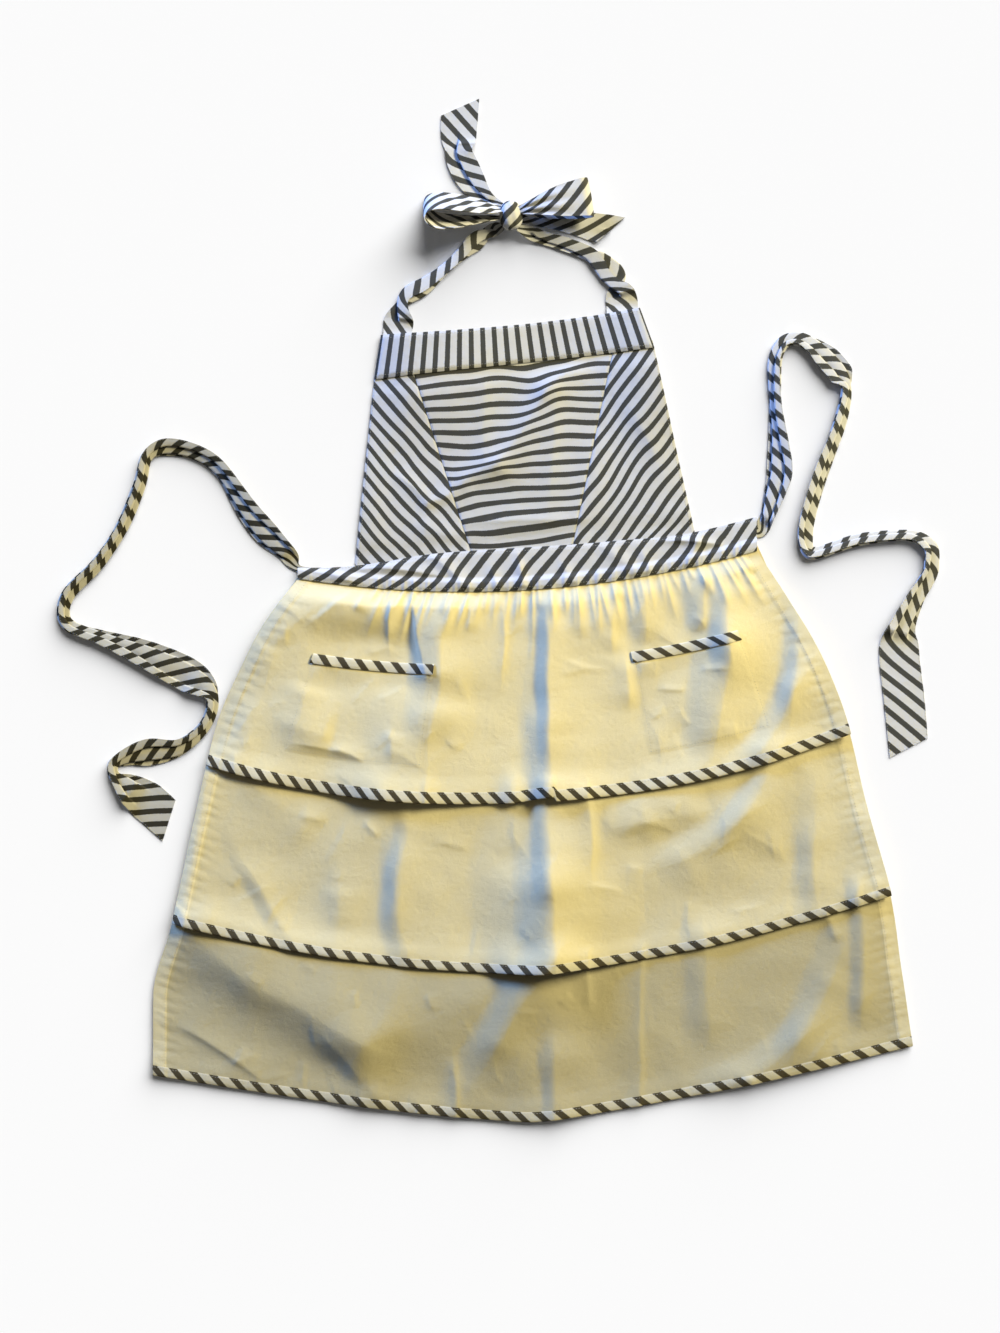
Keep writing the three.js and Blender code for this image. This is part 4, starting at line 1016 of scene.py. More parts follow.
def cloth_material(name, colours, stripes=None, turned_hem_painted_light=None):
    """Washed cotton. Its colour wanders between two shades, with darker stripes where they are given and
    a lighter colour painted where the side edges are turned under, a painted light; weave and crinkle
    bump it."""
    found = bpy.data.materials.get(name)
    if found:
        return found
    settings = bpy.context.scene.apron_cloth
    material = bpy.data.materials.new(name)
    material.use_nodes = True
    tree = material.node_tree
    shader = tree.nodes["Principled BSDF"]
    shader.inputs["Roughness"].default_value = CLOTH_ROUGHNESS
    shader.inputs["Specular IOR Level"].default_value = CLOTH_SPECULAR
    place = tree.nodes.new("ShaderNodeTexCoord").outputs["Object"]
    cloth_map = tree.nodes.new("ShaderNodeUVMap")
    cloth_map.uv_map = "cloth"
    cloth = cloth_map.outputs[0]
    weave = placed_group(tree, "plain_weave", cloth, Threads=2 * math.pi / settings.thread_pitch)
    crinkle = placed_group(tree, "washed_crinkle", place)
    colour = mix_node(tree, crinkle.outputs["Tone"], *colours)
    if stripes is not None:
        mask = placed_group(
            tree, "woven_stripes", cloth, Pitch=settings.stripe_pitch, Share=settings.dark_share
        ).outputs["Mask"]
        dark = mix_node(tree, weave.outputs["Slub"], *stripes)
        colour = mix_node(tree, mask, colour, dark)
    # Painted light: the turned side edges are painted in a lighter colour, blended in by their distance
    # from the edge
    if turned_hem_painted_light is not None:
        inward = tree.nodes.new("ShaderNodeAttribute")
        inward.attribute_name = "inward"
        turned_hem_light_mask = tree.nodes.new("ShaderNodeMapRange")
        turned_hem_light_mask.inputs["From Min"].default_value = SIDE_HEM + SIDE_HEM_LINE
        turned_hem_light_mask.inputs["From Max"].default_value = SIDE_HEM - SIDE_HEM_LINE
        tree.links.new(inward.outputs["Fac"], turned_hem_light_mask.inputs["Value"])
        colour = mix_node(tree, turned_hem_light_mask.outputs[0], colour, turned_hem_painted_light)
    tree.links.new(colour, shader.inputs["Base Color"])
    height = math_node(
        tree, "MULTIPLY_ADD", weave.outputs["Height"], WEAVE_SHARE, crinkle.outputs["Height"]
    )
    bump = tree.nodes.new("ShaderNodeBump")
    bump.inputs["Strength"].default_value = BUMP_STRENGTH
    bump.inputs["Distance"].default_value = settings.crinkle_depth
    tree.links.new(height, bump.inputs["Height"])
    tree.links.new(bump.outputs[0], shader.inputs["Normal"])
    return material


def butter_cotton(layers):
    """The skirt's thin cotton with painted shade: one and two layers are painted darker than three,
    standing in for how light passes through the thin cloth, and its turned side edges are painted as
    bright as one layer more.
    """
    settings = bpy.context.scene.apron_cloth
    shade = {1: settings.single_layer_painted_shade, 2: settings.double_layer_painted_shade, 3: 1}
    light = np.array(settings.yellow_light)
    deep = np.array(settings.yellow_deep)
    shades = (light * shade[layers], deep * shade[layers])
    turned_hem_painted_light = (light + deep) / 2 * shade[min(layers + 1, 3)]
    return cloth_material(f"butter_cotton_{layers}", shades, turned_hem_painted_light=turned_hem_painted_light)


def striped_cotton(in_painted_shade=False):
    """The ticking of the bib, the bands and the ties; the left waist tie's is painted darker and
    creamier, a painted shade for the dimmer, warmer light on it.
    """
    settings = bpy.context.scene.apron_cloth
    light = np.array((settings.stripe_light, settings.stripe_cream))
    dark = np.array((settings.stripe_dark, settings.stripe_black))
    if in_painted_shade:
        return cloth_material("painted_shade_ticking", light * LEFT_TIE_PAINTED_SHADE_LIGHT, dark * LEFT_TIE_PAINTED_SHADE_DARK)
    return cloth_material("ticking", light, dark)


def bias_tape(layers):
    """The same ticking cut on the bias, in creamier colours, with painted shade: it is painted darker
    the fewer layers of cloth lie under it."""
    settings = bpy.context.scene.apron_cloth
    shade = np.array(settings.tape_cream) * TAPE_PAINTED_SHADES[layers]
    light = (shade, shade * TAPE_LIGHT_DEEP)
    dark = (settings.tape_dark, np.array(settings.tape_dark) * TAPE_DARK_DEEP)
    return cloth_material(f"bias_tape_{layers}", light, dark)


def thread_material():
    """Plain sewing thread."""
    settings = bpy.context.scene.apron_cloth
    found = bpy.data.materials.get("sewing_thread")
    if found:
        return found
    material = bpy.data.materials.new("sewing_thread")
    material.use_nodes = True
    shader = material.node_tree.nodes["Principled BSDF"]
    shader.inputs["Base Color"].default_value = (*settings.thread_colour, 1)
    shader.inputs["Roughness"].default_value = THREAD_ROUGHNESS
    return material


# Stitches

STITCH_LENGTH = 0.0024
STITCH_GAP = 0.0009
STITCH_HALF = 0.0002
STITCH_CROWN = 1.6
STITCH_CORNERS = 6
# Triangles of a stitch over its two ends, its two sides, its top and its bottom
STITCH_FACES = np.array((
    (0, 2, 4), (2, 1, 4), (1, 3, 4), (3, 0, 4),
    (2, 0, 5), (1, 2, 5), (3, 1, 5), (0, 3, 5),
))
SMOOTH_ALL = 180
STITCHES = []


def sew(line, normals):
    """Keeps a line of points on the cloth, with the cloth's normals, to be sewn along later."""
    STITCHES.append((line, normals))


def sew_grid(grid, columns=(), rows=(), lift=0):
    """Keeps some columns and rows of a grid of points, lifted off it along its normals, to be sewn."""
    normals = normals_of(grid)
    face = grid + normals * lift
    for column in columns:
        sew(face[:, column], normals[:, column])
    for row in rows:
        sew(face[row], normals[row])


def stitch_points(line, normals):
    """Corners of the stitches along a line: at even lengths along it a thin spindle with two ends, two
    sides, a top and a bottom."""
    lengths = run_lengths(line)
    middles = np.arange(STITCH_LENGTH, lengths[-1] - STITCH_LENGTH, STITCH_LENGTH + STITCH_GAP)

    def at(values, where):
        return np.stack([np.interp(where, lengths, values[:, axis]) for axis in range(3)], axis=-1)

    first = at(line, middles - STITCH_LENGTH / 2)
    second = at(line, middles + STITCH_LENGTH / 2)
    up = unit(at(normals, middles))
    side = unit(np.cross(up, second - first)) * STITCH_HALF
    middle = (first + second) / 2
    lift = up * STITCH_HALF
    sides = (middle + side + lift / 2, middle - side + lift / 2)
    return np.stack((first, second, *sides, middle + lift * STITCH_CROWN, middle - lift), axis=1)


# Ribbons

TENT_ROUNDING = 0.18
LEAN_SHARE = 0.2
PLEAT_DRIFT = 0.9
PLEAT_DRIFT_SIZE = 0.09
PLEAT_TURN = 0.0036
PLEAT_ARCH = 0.17
PLEAT_ARCH_EASE = 0.2
MOST_BACK = 0.46
LEAST_STRETCH = 0.7
SECTION_STEPS = 96
RIBBON_CLOTH = 0.0008
RIBBON_COLUMNS = 96
RIBBON_END = 1.2
RIBBON_LOOK = 0.05
TABLE_GAP = 0.0001
STRIPE_ANGLE = 45


def ribbon(rows, stations, full, slant=0, start=0, end=0, seed=0, pleats=1):
    """A ribbon as it lies: points of its middle surface and its cloth coordinates.

    Across the ribbon it is laid in flat lengthwise pleats: its slope is nearly level, turns over to run
    back below and turns over again, with as much running back as makes the section look as narrow from
    above as a single tent of the row's fold. The fold lines wander along the run. The slopes are added
    up into a section that is centred, stands with its lowest line on the table and is carried along the
    rows; its end is cut at a slant and its two ends may be lifted.
    """
    last = len(rows["x"]) - 1
    number = np.linspace(0, last, stations + 1)
    place = rows_at(rows, number)
    ahead = rows_at(rows, np.minimum(number + RIBBON_LOOK, last))
    behind = rows_at(rows, np.maximum(number - RIBBON_LOOK, 0))
    along = unit(np.stack((ahead["x"] - behind["x"], ahead["y"] - behind["y"]), axis=-1))
    middle_line = np.stack((place["x"], place["y"]), axis=-1)
    length = run_lengths(middle_line)
    zero = np.zeros_like(length)
    spot = 2 * (np.arange(SECTION_STEPS) + 0.5) / SECTION_STEPS - 1
    tent = spot * math.hypot(1, TENT_ROUNDING) / np.hypot(spot, TENT_ROUNDING)
    seen = np.cos(np.radians(place["lean"][:, None] - place["fold"][:, None] * tent)).sum(axis=1)
    back = np.clip((1 - seen / SECTION_STEPS) / 2, 0, MOST_BACK)[:, None]
    share = (spot[None, :] + 1) / 2
    drift = PLEAT_DRIFT * noise(length, zero, PLEAT_DRIFT_SIZE, seed)[:, None]
    phase = pleats * (share + drift * np.sin(2 * np.pi * share) / (2 * np.pi))
    beside = np.abs(phase % 1 - 0.5)
    bend = pleats * PLEAT_TURN / place["wide"][:, None]
    over = smooth((back / 2 + bend / 2 - beside) / bend, 0, 1) * smooth(back, 0, bend)
    arch = PLEAT_ARCH * np.sin(2 * np.pi * phase) * (1 - over) * smooth(back, 0, PLEAT_ARCH_EASE)
    slope = np.radians(place["lean"][:, None] * LEAN_SHARE) - np.pi * over - arch
    step = (place["wide"] / SECTION_STEPS)[:, None]
    stretch = (seen / np.maximum(np.cos(slope).sum(axis=1), seen * LEAST_STRETCH))[:, None]
    side = np.concatenate((zero[:, None], np.cumsum(np.cos(slope) * step * stretch, axis=1)), axis=1)
    up = np.concatenate((zero[:, None], np.cumsum(np.sin(slope) * step, axis=1)), axis=1)
    side = side - (side.min(axis=1) + side.max(axis=1))[:, None] / 2
    flat = RIBBON_CLOTH / 2 + TABLE_GAP - up.min(axis=1)
    starting = 1 - smooth(number, 0, RIBBON_END)
    ending = smooth(number, last - RIBBON_END, last)
    lift = flat + starting * np.maximum(start - flat, 0) + ending * np.maximum(end - flat, 0)
    pick = np.linspace(0, SECTION_STEPS, RIBBON_COLUMNS + 1).astype(int)
    side, up = side[:, pick], up[:, pick]
    forward = slant * side * ending[:, None]
    x = place["x"][:, None] - along[:, 1:] * side + along[:, :1] * forward
    y = place["y"][:, None] + along[:, :1] * side + along[:, 1:] * forward
    grid = np.stack((x, y, up + lift[:, None]), axis=-1)
    across = full * (pick / SECTION_STEPS - 0.5)
    uv = turned(length[:, None] + forward, across[None, :], STRIPE_ANGLE)
    return grid, uv


LOOP_STATIONS = 150
LOOP_COLUMNS = 36
LOOP_PLEAT = 0.0014
LOOP_PLEAT_COUNT = 2.4
LOOP_PLEAT_WANDER = 0.5
LOOP_WANDER_SIZE = 1.7
LOOP_PINCH = (0.3, 0.4)
LOOP_FREE = (0.1, 1)
LOOP_CUP = 0.0016
LOOP_CUP_SHARE = 0.5
LOOP_CUP_WANDER = 0.6


def bow_loop(rows, direction, full, seed):
    """A bow loop: its middle line through the rows, as wide as they say along one direction, cupped a
    little, with pleats that grow towards the knot."""
    last = len(rows["x"]) - 1
    number = np.linspace(0, last, LOOP_STATIONS + 1)
    row = rows_at(rows, number)
    middle = np.stack((row["x"], row["y"], row["z"]), axis=-1)
    spot = np.linspace(-0.5, 0.5, LOOP_COLUMNS + 1)
    across = unit(np.array(direction, dtype=float))
    grid = middle[:, None, :] + across * (row["wide"][:, None] * spot[None, :])[..., None]
    from_knot = np.minimum(number, last - number)
    pinched = 1 - smooth(from_knot, LOOP_PINCH[0], last * LOOP_PINCH[1])
    free = smooth(from_knot, *LOOP_FREE)
    wander = noise(number, np.zeros_like(number), LOOP_WANDER_SIZE, seed)[:, None]
    turns = LOOP_PLEAT_COUNT * spot[None, :] + LOOP_PLEAT_WANDER * wander
    pleat = np.sin(2 * np.pi * turns + seed) * pinched[:, None]
    cup = (1 - (2 * spot[None, :]) ** 2) * (LOOP_CUP_SHARE + LOOP_CUP_WANDER * wander)
    depth = (LOOP_PLEAT * pleat + LOOP_CUP * cup) * free[:, None]
    grid = grid + normals_of(grid) * depth[..., None]
    uv = turned(run_lengths(middle)[:, None], full * spot[None, :], STRIPE_ANGLE)
    return grid, uv


# Settings


class ApronCloth(bpy.types.PropertyGroup):
    """Cloth, stripes and thread."""

    stripe_pitch: FloatProperty(
        name="Stripe pitch", description="Distance from one dark stripe to the next", default=0.0125,
        unit="LENGTH", precision=4,
    )
    dark_share: FloatProperty(
        name="Dark share", description="Share of the pitch that is dark", default=0.43, subtype="FACTOR",
    )
    thread_pitch: FloatProperty(
        name="Thread pitch", description="Distance over which the weave repeats", default=0.0011,
        unit="LENGTH", precision=4,
    )
    crinkle_depth: FloatProperty(
        name="Crinkle depth", description="Depth of the small wrinkles", default=0.0019, unit="LENGTH",
        precision=4,
    )
    yellow_light: FloatVectorProperty(
        name="Yellow, light", description="Lighter shade of the skirt's cotton", subtype="COLOR",
        default=(0.749, 0.643, 0.363),
    )
    yellow_deep: FloatVectorProperty(
        name="Yellow, deep", description="Deeper shade of the skirt's cotton", subtype="COLOR",
        default=(0.691, 0.586, 0.319),
    )
    # Painted shade: the cotton is painted darker where one or two layers lie than where three do,
    # standing in for how light passes through the thin cloth
    single_layer_painted_shade: FloatProperty(
        name="Single layer", description="Brightness of the cotton where one layer lies alone",
        default=0.62, subtype="FACTOR",
    )
    double_layer_painted_shade: FloatProperty(
        name="Double layer", description="Brightness of the cotton where two layers lie on each other",
        default=0.86, subtype="FACTOR",
    )
    tape_cream: FloatVectorProperty(
        name="Tape", description="Light stripe of the bias tape", subtype="COLOR",
        default=(0.662, 0.594, 0.395),
    )
    tape_dark: FloatVectorProperty(
        name="Tape stripe", description="Dark stripe of the bias tape", subtype="COLOR",
        default=(0.075, 0.06, 0.031),
    )
    stripe_light: FloatVectorProperty(
        name="Light stripe", description="Light stripe of the ticking", subtype="COLOR",
        default=(0.607, 0.595, 0.562),
    )
    stripe_cream: FloatVectorProperty(
        name="Light stripe, cream", description="Warmer shade of the light stripe", subtype="COLOR",
        default=(0.572, 0.541, 0.461),
    )
    stripe_dark: FloatVectorProperty(
        name="Dark stripe", description="Dark stripe of the ticking", subtype="COLOR",
        default=(0.048, 0.046, 0.036),
    )
    stripe_black: FloatVectorProperty(
        name="Dark stripe, deep", description="Deeper shade of the dark stripe", subtype="COLOR",
        default=(0.07, 0.067, 0.054),
    )
    thread_colour: FloatVectorProperty(
        name="Thread", description="Sewing thread", subtype="COLOR", default=(0.42, 0.38, 0.27),
    )


class ApronStage(bpy.types.PropertyGroup):
    """Floor, light and camera."""

    floor_colour: FloatVectorProperty(
        name="Floor", description="Colour of the floor", subtype="COLOR", default=(0.97, 0.97, 0.97),
    )
    camera_height: FloatProperty(
        name="Camera height", description="Height of the camera over the floor", default=2.4,
        unit="LENGTH",
    )
    view_length: FloatProperty(
        name="View length", description="Length of floor that the long side of the picture shows",
        default=1.44, unit="LENGTH",
    )
    view_middle: FloatProperty(
        name="View middle", description="Where the middle of the picture is along Y", default=-0.0626,
        unit="LENGTH",
    )
    warm_colour: FloatVectorProperty(
        name="Warm light", description="Colour of the light from the right", subtype="COLOR",
        default=(1.0, 0.925, 0.61),
    )
    cool_colour: FloatVectorProperty(
        name="Cool light", description="Colour of the light from the left", subtype="COLOR",
        default=(0.16, 0.345, 1.0),
    )
    warm_power: FloatProperty(
        name="Warm power", description="Power of the light from the right", default=900, unit="POWER",
    )
    cool_power: FloatProperty(
        name="Cool power", description="Power of the light from the left", default=1150, unit="POWER",
    )
    floor_power: FloatProperty(
        name="Floor power", description="Irradiance of the light on the floor", default=6.4,
        unit="POWER",
    )
    sky: FloatProperty(
        name="Fill", description="Strength of the even light from all round", default=0.09,
        subtype="FACTOR",
    )


# Pieces

TAPE_SEAM = 0.16
SIDE_SEAM_INSET = 0.002


class APRON_OT_skirt(bpy.types.Operator):
    """Lay the three layers of the skirt on each other and bind their hems"""

    bl_idname = "apron.skirt"
    bl_label = "Skirt"

    def execute(self, context):
        across = np.linspace(0, 1, SKIRT_COLUMNS)[None, :]
        tape_across = np.linspace(0, 1, TAPE_COLUMNS)[None, :]
        for name, layer in LAYERS.items():
            down = skirt_rows(layer)[:, None]
            under = layer_grid(name, across, down)
            face = raised(under, np.full(under.shape[:2], SKIRT_CLOTH))
            uv = np.stack(np.broadcast_arrays(across * layer["flat"][0], down * SKIRT_LENGTH), axis=-1)
            node, layers, hem = layer["node"], layer["layers"], layer["hem"]
            piece = wall(node + "_cloth", face, under, uv, butter_cotton(layers))
            piece_of(piece, node)
            mark_inward(piece, side_distance(across, down))
            tape_down = np.linspace(hem - TAPE_SHARE, hem, TAPE_ROWS)[:, None]
            rows = layer_grid(name, tape_across, tape_down)
            binding = f"hem_binding_{name}"
            outward = outward_of(rows)
            tape = bound_edge(binding + "_tape", rows, outward, TAPE_ANGLE, layer["pitch"], layers)
            piece_of(tape, binding)
            self.sew_layer(name, face, rows)
        return {"FINISHED"}

    def sew_layer(self, name, face, rows):
        """Stitches along the inner side of the tape and of the two turned side edges."""
        normals = normals_of(face)
        tape_normals = np.zeros_like(rows[0]) + np.array((0, 0, 1))
        lift = SKIRT_CLOTH + TAPE_GAP + TAPE_CLOTH + TAPE_PUFF
        sew(raised(lerp(rows[0], rows[-1], TAPE_SEAM), np.full(len(rows[0]), lift)), tape_normals)
        shown = slice(-LAYERS[name]["rows"], None)
        for side in (1, -1):
            wide = np.linalg.norm(face[shown, -1] - face[shown, 0], axis=-1).mean()
            column = round((SKIRT_COLUMNS - 1) * (SIDE_HEM - SIDE_SEAM_INSET) / wide)
            where = column if side == 1 else -1 - column
            sew(face[shown, where], normals[shown, where])


# Shares of the way across the top tier where each pocket starts and ends
POCKETS = {"left": (4 / 36, 12 / 36), "right": (25 / 36, 32 / 36)}
POCKET_MOUTH = 0.14
POCKET_FOOT = 0.335
POCKET_GAP = 0.00005
POCKET_CLOTH = 0.0005
POCKET_EDGE_CLOTH = 0.0001
POCKET_EDGE_EASE = 0.06
POCKET_GAPE_ENDS = 0.02
POCKET_SHAPE = (70, 90)
POCKET_PITCH = 0.0197


def pocket_grid(across, down):
    """Underside of a pocket: the top tier's face, a gap above it, and a gape at the mouth that makes
    room for the tape."""
    gape = HEM_LIFT * (1 - smooth(down, POCKET_MOUTH + TAPE_SHARE, POCKET_MOUTH + 3 * TAPE_SHARE))
    under = layer_grid("top", across, down)
    ends = smooth(np.minimum(across - across.min(), across.max() - across), 0, POCKET_GAPE_ENDS)
    return raised(under, SKIRT_CLOTH + POCKET_GAP + gape * ends)


class APRON_OT_pockets(bpy.types.Operator):
    """Lay the two patch pockets on the top tier and bind their mouths"""

    bl_idname = "apron.pockets"
    bl_label = "Pockets"

    def execute(self, context):
        top_width = LAYERS["top"]["flat"][0]
        for side, (first, last) in POCKETS.items():
            down = np.linspace(POCKET_MOUTH, POCKET_FOOT, POCKET_SHAPE[0])[:, None]
            across = np.linspace(first, last, POCKET_SHAPE[1])[None, :]
            under = pocket_grid(across, down)
            from_side = np.minimum(across - first, last - across) / (last - first)
            from_foot = (POCKET_FOOT - down) / (POCKET_FOOT - POCKET_MOUTH)
            edge = smooth(np.minimum(from_side, from_foot), 0, POCKET_EDGE_EASE)
            face = raised(under, lerp(POCKET_EDGE_CLOTH, POCKET_CLOTH, edge))
            uv = np.stack(np.broadcast_arrays(across * top_width, down * SKIRT_LENGTH), axis=-1)
            node = f"pocket_{side}"
            piece = wall(node + "_cloth", face, under, uv, butter_cotton(3))
            piece_of(piece, node)
            mark_inward(piece, side_distance(across, down))
            tape_down = np.linspace(POCKET_MOUTH + TAPE_SHARE, POCKET_MOUTH, TAPE_ROWS)[:, None]
            rows = pocket_grid(across, tape_down)
            binding = f"pocket_binding_{side}"
            tape = bound_edge(binding + "_tape", rows, outward_of(rows), -TAPE_ANGLE, POCKET_PITCH)
            piece_of(tape, binding)
            sew_grid(face, columns=(2, -3), rows=(-3,))
        return {"FINISHED"}


BAND_SHAPE = (44, 420)
BAND_WIDTH = 0.046
BAND_CLIMB = (0.009, 0.016)
BAND_CRUMPLE = 0.0009
BAND_EDGE = 0.006
BAND_PILLOW = 0.0007
BAND_THINNED = 0.0006
BAND_ROUNDING = 0.004
BAND_SEEDS = (71, 73)
BAND_ANGLES = (37, 50)
BAND_ANGLES_EASE = (0.2, 0.42)
BAND_STRIPE = 0.84
BAND_DRAW = 0.6
BAND_WAVE = 0.0015


def pillow(edge, height, rounding):
    """How far padded cloth stands up at a distance from its edge: the height times the root of the
    distance's share of the rounding."""
    return height * np.sqrt(np.clip(edge / rounding, 0, 1))


class APRON_OT_waistband(bpy.types.Operator):
    """Lay the waistband over the gathered skirt and the foot of the bib"""

    bl_idname = "apron.waistband"
    bl_label = "Waistband"

    def execute(self, context):
        across = np.linspace(0, 1, BAND_SHAPE[1])[None, :]
        share = np.linspace(0, 1, BAND_SHAPE[0])[:, None]
        x, seam_y = skirt_plane(across, np.zeros((1, 1)))
        height = rows_where(WAISTBAND, "across", across)["height"]
        from_seam = height * (1 - share)
        seam_z = layer_under("top", across, np.zeros((1, 1))) + LAYER_STEP
        climb = 1 - smooth(from_seam, *BAND_CLIMB)
        x = np.broadcast_to(x, from_seam.shape)
        y = seam_y + from_seam
        rise = creases(BAND_CREASES, x, y) + BAND_CRUMPLE * crumple(x, y, BAND_SEEDS[0])
        edge = np.minimum(share, 1 - share) * height
        z = lerp(BAND_REST, seam_z, climb) + rise * smooth(edge, 0, BAND_EDGE)
        under = np.stack((x, y, z), axis=-1)
        face = raised(under, BAND_CLOTH + pillow(edge, BAND_PILLOW, BAND_ROUNDING) - BAND_THINNED)
        along = run_lengths(face[-1])[None, :]
        lean = lerp(*BAND_ANGLES, smooth(across, *BAND_ANGLES_EASE))
        slid = along - from_seam / np.tan(np.radians(lean))
        slid = slid * math.sin(math.radians(BAND_ANGLES[1]))
        slid = slid + BAND_DRAW * drawn_stripes(BAND_CREASES, x, y, BAND_WAVE, BAND_SEEDS[1])
        uv = np.stack(np.broadcast_arrays(slid, from_seam), axis=-1) * BAND_STRIPE
        piece = wall("waistband_cloth", face, under, uv, striped_cotton())
        piece_of(piece, "waistband")
        sew_grid(face, rows=(3, -4))
        return {"FINISHED"}


# Panels of the bib: their two edges, the angle of their stripes, with none where these run across, the
# columns of their grids and those that are sewn along
BIB_PANELS = {
    "bib_panel_left": {
        "edges": ("left", "seam_left"), "angle": -47.7, "columns": 100, "sewn": (3,),
    },
    "bib_panel_center": {
        "edges": ("seam_left", "seam_right"), "angle": None, "columns": 150, "sewn": (),
    },
    "bib_panel_right": {
        "edges": ("seam_right", "right"), "angle": 53.2, "columns": 100, "sewn": (-4,),
    },
}
BIB_ROWS = 170
BIB_FREE_TOP = (0.02, 0.1)
BIB_FREE_FOOT = (0.88, 0.97)
BIB_CRUMPLE = 0.0018
BIB_PILLOW = 0.0006
BIB_ROUNDING = 0.003
BIB_SEEDS = (83, 87)
BIB_WAVE = 0.003
PANEL_STRIPE = 1.03
PANEL_CLOTH = 0.2
LIFT_HEIGHTS = (0.0065, 0.0095)
LIFT_LEFT = (-0.142, -0.094)
LIFT_MIDDLE = (-0.07, 0.05)
LIFT_RIGHT = (0.095, 0.176)
LIFT_FADE = (0.15, 0.26)
TOP_BAND_SHAPE = (40, 220)
TOP_BAND_LENGTH = 0.28
TOP_BAND_CRUMPLE = 0.0016
TOP_BAND_SEED = 97
TOP_BAND_STRIPE = 0.975


def corner_lift(x, y):
    """Height of the bib's top, which the straps pull up: it climbs from the left end, sinks towards the
    middle, climbs again to the right end, and dies away down the panels."""
    left = smooth(x, *LIFT_LEFT) * (1 - smooth(x, *LIFT_MIDDLE))
    right = smooth(x, *LIFT_RIGHT)
    return (LIFT_HEIGHTS[0] * left + LIFT_HEIGHTS[1] * right) * smooth(y, *LIFT_FADE)


def between(first, second, share):
    """The two coordinates of the place at a share of the way from one corner to another."""
    return [lerp(first[axis], second[axis], share) for axis in (0, 1)]


class APRON_OT_bib(bpy.types.Operator):
    """Lay the three panels of the bib side by side under its top band"""

    bl_idname = "apron.bib"
    bl_label = "Bib"

    def execute(self, context):
        for node, panel in BIB_PANELS.items():
            self.lay_panel(node, panel)
        self.lay_top_band()
        return {"FINISHED"}

    def lay_panel(self, node, panel):
        """A panel between two straight edges, its middle crowned a little over its seams, with creases
        that die away under the bands."""
        down = np.linspace(-BIB_TUCK, 1 + BIB_TUCK, BIB_ROWS)[:, None]
        across = np.linspace(0, 1, panel["columns"])[None, :]
        left, right = (between(BIB_TOP[name], BIB_BOTTOM[name], down) for name in panel["edges"])
        gap = TAPE_GAP / 2
        x = lerp(left[0] + gap, right[0] - gap, across)
        y = lerp(left[1], right[1], across)
        free = smooth(down, *BIB_FREE_TOP) * (1 - smooth(down, *BIB_FREE_FOOT))
        rise = creases(BIB_CREASES, x, y) + BIB_CRUMPLE * crumple(x, y, BIB_SEEDS[0])
        inward = np.minimum(across, 1 - across) * (x[:, -1:] - x[:, :1])
        under = np.stack((x, y, rise * free + corner_lift(x, y)), axis=-1)
        face = raised(under, BAND_CLOTH + pillow(inward, BIB_PILLOW, BIB_ROUNDING) - BIB_PILLOW)
        if panel["angle"] is None:
            length = BIB_TOP["seam_left"][1] - BIB_BOTTOM["seam_left"][1]
            run = np.broadcast_arrays(down * length * PANEL_STRIPE, across * PANEL_CLOTH)
            uv = np.stack(run, axis=-1)
        else:
            uv = turned(x, y, panel["angle"]) * PANEL_STRIPE
        uv[..., 0] += drawn_stripes(BIB_CREASES, x, y, BIB_WAVE, BIB_SEEDS[1])
        piece = wall(node + "_cloth", face, under, uv, striped_cotton())
        piece_of(piece, node)
        sew_grid(face, columns=panel["sewn"])

    def lay_top_band(self):
        """The top band between the upper edge, which sags, and the line where it covers the bib, with
        rounded edges."""
        across = np.linspace(0, 1, TOP_BAND_SHAPE[1])[None, :]
        share = np.linspace(0, 1, TOP_BAND_SHAPE[0])[:, None]
        upper = between(TOP_BAND_UPPER["left"], TOP_BAND_UPPER["right"], across)
        lower = between(BIB_TOP["left"], BIB_TOP["right"], across)
        upper[1] = upper[1] - TOP_BAND_SAG * (1 - (2 * across - 1) ** 2)
        x = lerp(upper[0], lower[0], share)
        y = lerp(upper[1], lower[1], share)
        from_end = np.minimum(across, 1 - across) * TOP_BAND_LENGTH
        edge = np.minimum(np.minimum(share, 1 - share) * BAND_WIDTH, from_end)
        rise = TOP_BAND_CRUMPLE * crumple(x, y, TOP_BAND_SEED) * smooth(edge, 0, BAND_EDGE)
        under = np.stack((x, y, BAND_REST + rise + corner_lift(x, y)), axis=-1)
        face = raised(under, BAND_CLOTH + pillow(edge, BAND_PILLOW, BIB_ROUNDING) - BAND_PILLOW)
        along = run_lengths(under[TOP_BAND_SHAPE[0] // 2])[None, :]
        uv = np.stack(np.broadcast_arrays(along * TOP_BAND_STRIPE, share * BAND_WIDTH), axis=-1)
        piece = wall("bib_top_band_cloth", face, under, uv, striped_cotton())
        piece_of(piece, "bib_top_band")
        sew_grid(face, rows=(3, -4))


# Ribbons by node: the rows of the middle line, the slant of the cut end, the height of the two ends and
# the seed; a tail also has its steps along the run, its full width and its mean width
WAIST_TIES = {
    "waist_tie_left": {"rows": WAIST_TIE_LEFT, "slant": -0.46, "seed": 201},
    "waist_tie_right": {"rows": WAIST_TIE_RIGHT, "slant": -0.4, "seed": 233},
}
NECK_STRAPS = {
    "neck_tie_left": {"rows": NECK_TIE_LEFT, "end": 0.006, "seed": 301},
    "neck_tie_right": {"rows": NECK_TIE_RIGHT, "end": 0.01, "seed": 317},
}
BOW_TAILS = {
    "bow_tail_upper": {
        "rows": BOW_TAIL_UPPER, "stations": 130, "full": 0.04, "slant": -0.5, "seed": 401, "flat": 0.034,
    },
    "bow_tail_side": {
        "rows": BOW_TAIL_SIDE, "stations": 110, "full": 0.036, "slant": 0.8, "seed": 419, "flat": 0.025,
    },
}
